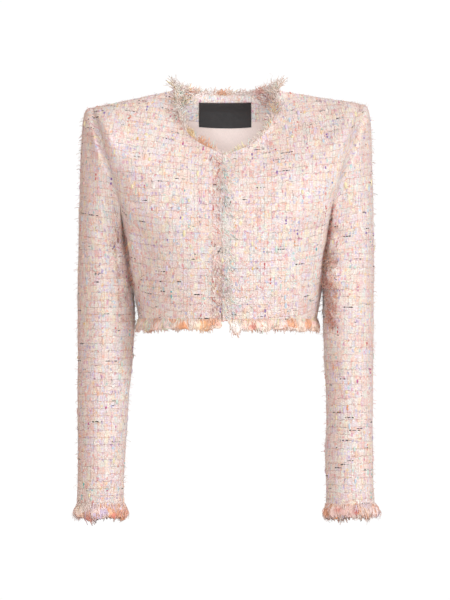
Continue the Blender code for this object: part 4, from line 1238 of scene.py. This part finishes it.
class JACKET_OT_neck_inside(bpy.types.Operator):
    """Tweed facing, satin lining and the bare label inside the back neck"""
    bl_idname = "jacket.neck_inside"
    bl_label = "Inside the neck"

    def execute(self, context):
        wall = context.scene.jacket_cloth.wall / MM
        tweed, satin = cloth_materials()

        rows = np.linspace(FACING_AT, 1.0, FACING_ROWS * FINE + 1)[:, None]
        points, normals = back_cloth(rows, FACING_REACH)
        points[-1] += unit(points[-2] - points[-1]) * FACING_DROP
        laid, warp = lay_flat(points, normals, points.shape[1] // 2, -1)
        cloth_piece("cloth_back_neck_facing", "back_neck_facing", (points, normals), laid + FLAT_FACING,
                    (0.30, 0.085), FACING_WALL, (tweed,), wall + SEAM, area=0.0163)
        GROUND["within_neck"] = (points - normals * (wall + SEAM + FACING_WALL), -normals, warp)

        rows = np.linspace(LINING_AT, FACING_AT, LINING_ROWS * FINE)[:, None]
        points, normals = back_cloth(rows, armhole_angle("back", rows) - LINING_NARROWER)
        laid, warp = lay_flat(points, normals, points.shape[1] // 2, -1)
        cloth_piece("satin_back_lining", "back_lining", (points, normals), laid, (0.40, 0.31), LINING_WALL, (satin,),
                    wall + LINING_EASE, "lining", "hung", area=0.109)

        places = np.linspace(0.5, 1.0, 400)
        height = LABEL_TOP - LABEL_BOTTOM
        places = np.interp(np.linspace(LABEL_BOTTOM, LABEL_TOP, LABEL_ROWS + 1), torso_point(180.0, places)[:, 2],
                           places)[:, None]
        x = LABEL_X + LABEL_WIDTH * np.linspace(0.5, -0.5, LABEL_COLUMNS + 1)[None, :]
        laid = np.stack(np.broadcast_arrays((np.arange(LABEL_COLUMNS + 1) / LABEL_COLUMNS * LABEL_WIDTH)[None, :],
                                            (np.arange(LABEL_ROWS + 1) / LABEL_ROWS * height)[:, None]), axis=-1) * MM
        cloth_piece("woven_label", "label", torso_surface(180.0 - angle_at_x(x, places), places), laid, (0.078, 0.041),
                    LABEL_WALL, (label_material("label_tape"),), wall + 2 * SEAM + FACING_WALL + LABEL_LIFT, "label",
                    rests_on=["cloth_back_neck_facing"])
        return {"FINISHED"}


class JACKET_OT_fringes(bpy.types.Operator):
    """Frayed fringe of the hem, neck, cuffs and front edges, by Geometry Nodes"""
    bl_idname = "jacket.fringes"
    bl_label = "Fringes"

    def execute(self, context):
        fringe = context.scene.jacket_fringe
        # Hem and cuffs: thick, tucked under, round a matted core.
        thick = {"radius": fringe.radius * 0.8, "curl": 0.25, "looseness": 0.25, "scatter": 0.3, "reach_scale": 0.9,
                 "taper": 0.3, "twist": 3.0, "core": True}

        points, normals = panel_edge(0)
        out = unit(normals * np.array((1.0, 1.0, 0.0)))
        x, fore = points[:, 0], points[:, 1] < 0.0
        parted = np.exp(-((x - HEM_PARTING) / HEM_PARTING_WIDTH) ** 4) * fore
        parted = parted + HEM_BACK_PARTED * np.exp(-(x / HEM_BACK_DIP) ** 2) * (points[:, 1] > 0.0)
        tuft = HEM_TUFT[2] * np.exp(-((x - HEM_TUFT[0]) / HEM_TUFT[1]) ** 2) * fore
        base = ribbon("hem_strip", points - out * STRIP_INSET, DOWN, out,
                      fringe.hem / MM * (1.0 - HEM_PARTED * parted + tuft), HEM_LEAN, STRIP_WIDTH, core=0.15)
        fringe_piece(base, "fringe_hem", "hem_fringe", "hem_fringe",
                     yarn_material("hem_yarn", HEM_DYES, 0.018, 0.3, 0.95, "hem", "LINEAR"), STRIP_WIDTH,
                     **thick, clump=0.007, lean_variation=0.16, reach_variation=0.14, tuck=0.15)

        points, normals = panel_edge(-1)
        up = unit(points - panel_edge(-2)[0])
        angle = np.degrees(np.arctan2(np.abs(points[:, 0]), -points[:, 1]))
        look = NECK_REACH.ring(angle)
        rim = np.where(angle > 90.0, 3.3, 2.0)[:, None]
        base = ribbon("neck_strip", points - normals * 0.2, up, normals, look["length"], look["lean"], uneven=0.4,
                      far=points - normals * rim - up * 1.0, crowd=look["crowd"], face=(0.2, -1.0, 0.4))
        fringe_piece(base, "fringe_neck", "neck_fringe", "neck_fringe",
                     yarn_material("neck_yarn", NECK_DYES, 0.014, 0.4, 1.0, "neck", "LINEAR"), 2.5 / 1.1,
                     reach_variation=0.35, curl=0.5, scatter=1.0, lean_variation=0.9, radius=fringe.radius * 0.85,
                     taper=0.6)

        points, normals, up = GROUND["within_neck"]
        for end in NECK_ENDS.rows:
            x = points[-1, :, 0] * end["side"]
            near = (x > end["from_x"]) & (x < end["to_x"])
            base = skin("neck_end", [(points[:, near], normals[:, near], up[:, near])], (0.4, -1.0, 0.4))
            fringe_piece(base, "fringe_neck_end_" + end["name"], None, "neck_fringe",
                         yarn_material("neck_end_yarn_" + end["name"], end["dyes"], 0.01, 0.7, 1.0), 1.0,
                         density=end["strands"], radius=end["radius"], reach_scale=end["length"], reach_variation=0.4,
                         scatter=1.2, lean=end["lean"], lean_variation=0.5, curl=0.5, taper=0.6, bends=6,
                         seed=fringe.seed + 31)

        for look in EDGE_FRINGE.rows:
            side, name = look["side"], look["name"]
            angles = np.linspace(-180.0, 180.0, CUFF_STATIONS, endpoint=False)
            points = sleeve_ring(side, CUFF, angles)
            around = sleeve_ring(side, CUFF, angles + 2.0) - sleeve_ring(side, CUFF, angles - 2.0)
            out = unit(np.cross(around, DOWN)) * side
            lean = CUFF_LEAN + CUFF_WAVE * np.sin(np.radians(angles) * CUFF_WAVES + side)
            base = ribbon("cuff_strip_" + name, points - out * STRIP_INSET, DOWN, out, fringe.cuff / MM, lean,
                          STRIP_WIDTH, 0.25, core=0.5, closed=True)
            fringe_piece(base, "fringe_cuff_" + name, "cuff_fringe_" + name, "hem_fringe",
                         yarn_material("cuff_yarn_" + name, CUFF_DYES, 0.018, 0.3, 1.0, "cuff", "LINEAR"), STRIP_WIDTH,
                         **thick, clump=0.009, lean_variation=0.12, reach_variation=0.12, tuck=0.5,
                         seed=fringe.seed + 3)

            at = np.linspace(*EDGE_PLACES)
            foot = np.exp(-(at / EDGE_FOOT) ** 2)
            near, far = [torso_surface(angle_at_x(x + look["shift"] * foot, at), at, -0.5)
                         for x in (look["near"], look["far"])]
            lay = np.stack([0.4 + look["sweep"] * np.exp(-(at / EDGE_SWEEP) ** 2), 0.0 * at, 0.0 * at - 1.0], axis=-1)
            reach = fringe.edge / MM * look["length"] * (1.0 + look["foot"] * foot)
            base = ribbon("edge_strip_" + name, near[0], lay, near[1], reach, look["lean"], uneven=0.4, far=far[0],
                          fade=look["fade"])
            fringe_piece(base, "fringe_front_edge_" + name, "front_edge_fringe_" + name, "edge_fringe",
                         yarn_material("edge_yarn_" + name, look["dyes"], 0.009, 0.9, 1.0, "edge"),
                         abs(look["far"] - look["near"]) / look["dense"], scatter=0.9, curl=0.35, looseness=0.3,
                         clump=0.009, lean_variation=0.08, twist=3.0, reach_variation=0.4, taper=0.6,
                         seed=fringe.seed + 5, radius=fringe.radius * look["thick"])
        return {"FINISHED"}


class JACKET_OT_slubs(bpy.types.Operator):
    """Bright slubs, black dashes and loose yarn ends on the tweed, by Geometry Nodes"""
    bl_idname = "jacket.slubs"
    bl_label = "Slubs and yarn ends"

    def execute(self, context):
        settings = context.scene.jacket_cloth
        seed = context.scene.jacket_fringe.seed
        lumps = bpy.data.node_groups.get("jacket_slubs") or slub_tree()
        cloth = [GROUND[name] for name in sorted(GROUND) if name != "within_neck"]
        base = skin("tweed_skin", cloth)
        for slub in SLUBS.rows:
            name = "slubs_" + slub["name"]
            grow(base, name, lumps, density=getattr(settings, slub["name"]), seed=seed + slub["seed"],
                 material=yarn_material(name, slub["dyes"]),
                 **{size: slub[size] for size in ("radius", "length", "gap", "turn", "lumps")})
        fine = {"scatter": math.pi, "clump": 0.002, "looseness": 3.0}
        strands(base, "loose_yarn_ends", density=settings.ends, radius=0.00026, radius_variation=0.4, reach_scale=4.5,
                reach_variation=0.6, lean=0.55, lean_variation=0.45, curl=0.45, droop=0.1, bends=4, seed=seed + 11,
                material=yarn_material("loose_yarn", END_DYES), **fine)
        strands(skin("tweed_skin", cloth), "standing_yarn_ends", density=settings.ends * 0.17, radius=0.00036,
                radius_variation=0.3, reach_scale=5.5, reach_variation=0.4, lean=1.1, lean_variation=0.4, curl=0.4,
                droop=0.35, bends=5, seed=seed + 17, material=yarn_material("whisker_yarn", WHISKER_DYES), **fine)

        soft = {"radius_variation": 0.4, "reach_scale": 1.0, "reach_variation": 0.4, "twist": 3.0, "clump": 0.004,
                "looseness": 1.0, "bends": 5}
        for floss in FLOSS.rows:
            side, name = floss["side"], floss["name"]
            material = yarn_material("floss_yarn_" + name, floss["dyes"], 0.016, 0.8)
            points, normals, warp = GROUND["under_sleeve_" + name]
            rows = np.flatnonzero((points[:, 0, 2] < FLOSS_TOP) & (points[:, 0, 2] > FLOSS_FOOT))
            middle = points[rows[len(rows) // 2]]
            near, far = [int(np.argmin(np.abs(np.abs(middle[:, 0]) - x) + OUT_OF_REACH * (middle[:, 1] > FLOSS_BEHIND)))
                         for x in FLOSS_X]
            base = ribbon("floss_strip_" + name, points[rows, near], warp[rows, near], normals[rows, near],
                          floss["reach"], floss["lean"], far=points[rows, far], fade=0.5)
            strands(base, "sleeve_floss_" + name, density=settings.ends * floss["dense"], radius=floss["radius"],
                    scatter=math.pi, lean_variation=0.2, curl=0.7, taper=0.4, seed=seed + 23, material=material, **soft)

            at = np.linspace(*SIDE_FLOSS_PLACES)
            near, far = [torso_surface(side * angle, at)[0] for angle in SIDE_FLOSS_ANGLES]
            base = ribbon("side_strip_" + name, near, DOWN, (0.3 * side, -1.0, 0.0), 8.0, 40.0, far=far, fade=0.3)
            strands(base, "side_floss_" + name, density=settings.ends * 16.0, radius=0.0004, scatter=1.2,
                    lean_variation=0.6, curl=0.6, taper=0.5, droop=0.2, seed=seed + 29, material=material, **soft)
        return {"FINISHED"}


class JACKET_OT_stage(bpy.types.Operator):
    """Plain pale floor, soft light and the camera"""
    bl_idname = "jacket.stage"
    bl_label = "Stage"

    def execute(self, context):
        settings = context.scene.jacket_stage
        scene = context.scene
        scene.view_settings.view_transform = "Standard"
        turn = np.arange(FLOOR_SIDES) * 2 * math.pi / FLOOR_SIDES
        ring = np.stack([FLOOR_RADIUS * np.cos(turn), FLOOR_RADIUS * np.sin(turn),
                         0.0 * turn - settings.floor_drop], axis=-1)
        floor = put_on("floor", ring / MM, np.arange(FLOOR_SIDES)[None])
        material, _, shader = new_material("floor_paint")
        shader.inputs["Base Color"].default_value = (*settings.floor_colour, 1.0)
        shader.inputs["Roughness"].default_value = 0.8
        floor.data.materials.append(material)

        scene.world = bpy.data.worlds.new("surround")
        scene.world.use_nodes = True
        tree = scene.world.node_tree
        seen = Wire(tree).make("ShaderNodeLightPath", {}, "Is Camera Ray")
        tone = seen.mix((*(settings.sky * part for part in settings.sky_tone), 1.0), (1.02, 1.02, 1.02, 1.0))
        tree.links.new(tone.socket, tree.nodes["Background"].inputs["Color"])

        for row in LAMPS.rows:
            lamp = bpy.data.lights.new(row["name"], "AREA")
            lamp.shape = "DISK"
            lamp.size = row["size"]
            lamp.energy = settings.key * row["power"] or settings.neck
            lamp.spread = math.radians(row["spread"])
            lamp.color = settings.key_tone
            thing = bpy.data.objects.new(row["name"], lamp)
            scene.collection.objects.link(thing)
            thing.location = row["place"]
            thing.rotation_euler = (Vector(row["aim"]) - Vector(row["place"])).to_track_quat("-Z", "Y").to_euler()
            thing.visible_camera = False

        lens = bpy.data.cameras.new("camera")
        lens.sensor_width = 36.0
        lens.lens = 36.0 * settings.distance / FRAME_HEIGHT
        lens.clip_end = 60.0
        camera = bpy.data.objects.new("camera", lens)
        scene.collection.objects.link(camera)
        camera.location = (FRAME_CENTRE[0], -settings.distance, FRAME_CENTRE[1])
        camera.rotation_euler = (math.pi / 2, 0.0, 0.0)
        scene.camera = camera
        return {"FINISHED"}


class JACKET_PT_panel(bpy.types.Panel):
    """Everything that makes the jacket, in order"""
    bl_idname = "JACKET_PT_panel"
    bl_label = "Tweed jacket"
    bl_space_type = "VIEW_3D"
    bl_region_type = "UI"
    bl_category = "Jacket"

    def draw(self, context):
        for group in GROUPS:
            settings = getattr(context.scene, group)
            box = self.layout.box()
            for name in settings.__annotations__:
                box.prop(settings, name)
        for step in STEPS:
            self.layout.operator(step.bl_idname)


STEPS = (JACKET_OT_body, JACKET_OT_sleeves, JACKET_OT_neck_inside, JACKET_OT_fringes, JACKET_OT_slubs,
         JACKET_OT_stage)
GROUPS = {"jacket_cloth": JacketClothSettings, "jacket_fringe": JacketFringeSettings,
          "jacket_stage": JacketStageSettings}


def register():
    for kind in (*GROUPS.values(), *STEPS, JACKET_PT_panel):
        bpy.utils.register_class(kind)
    for name, kind in GROUPS.items():
        setattr(bpy.types.Scene, name, PointerProperty(type=kind))


def unregister():
    for name in GROUPS:
        delattr(bpy.types.Scene, name)
    for kind in reversed((*GROUPS.values(), *STEPS, JACKET_PT_panel)):
        bpy.utils.unregister_class(kind)


def main():
    register()
    bpy.ops.jacket.body()
    bpy.ops.jacket.sleeves()
    bpy.ops.jacket.neck_inside()
    bpy.ops.jacket.fringes()
    bpy.ops.jacket.slubs()
    bpy.ops.jacket.stage()


if __name__ == "__main__":
    main()
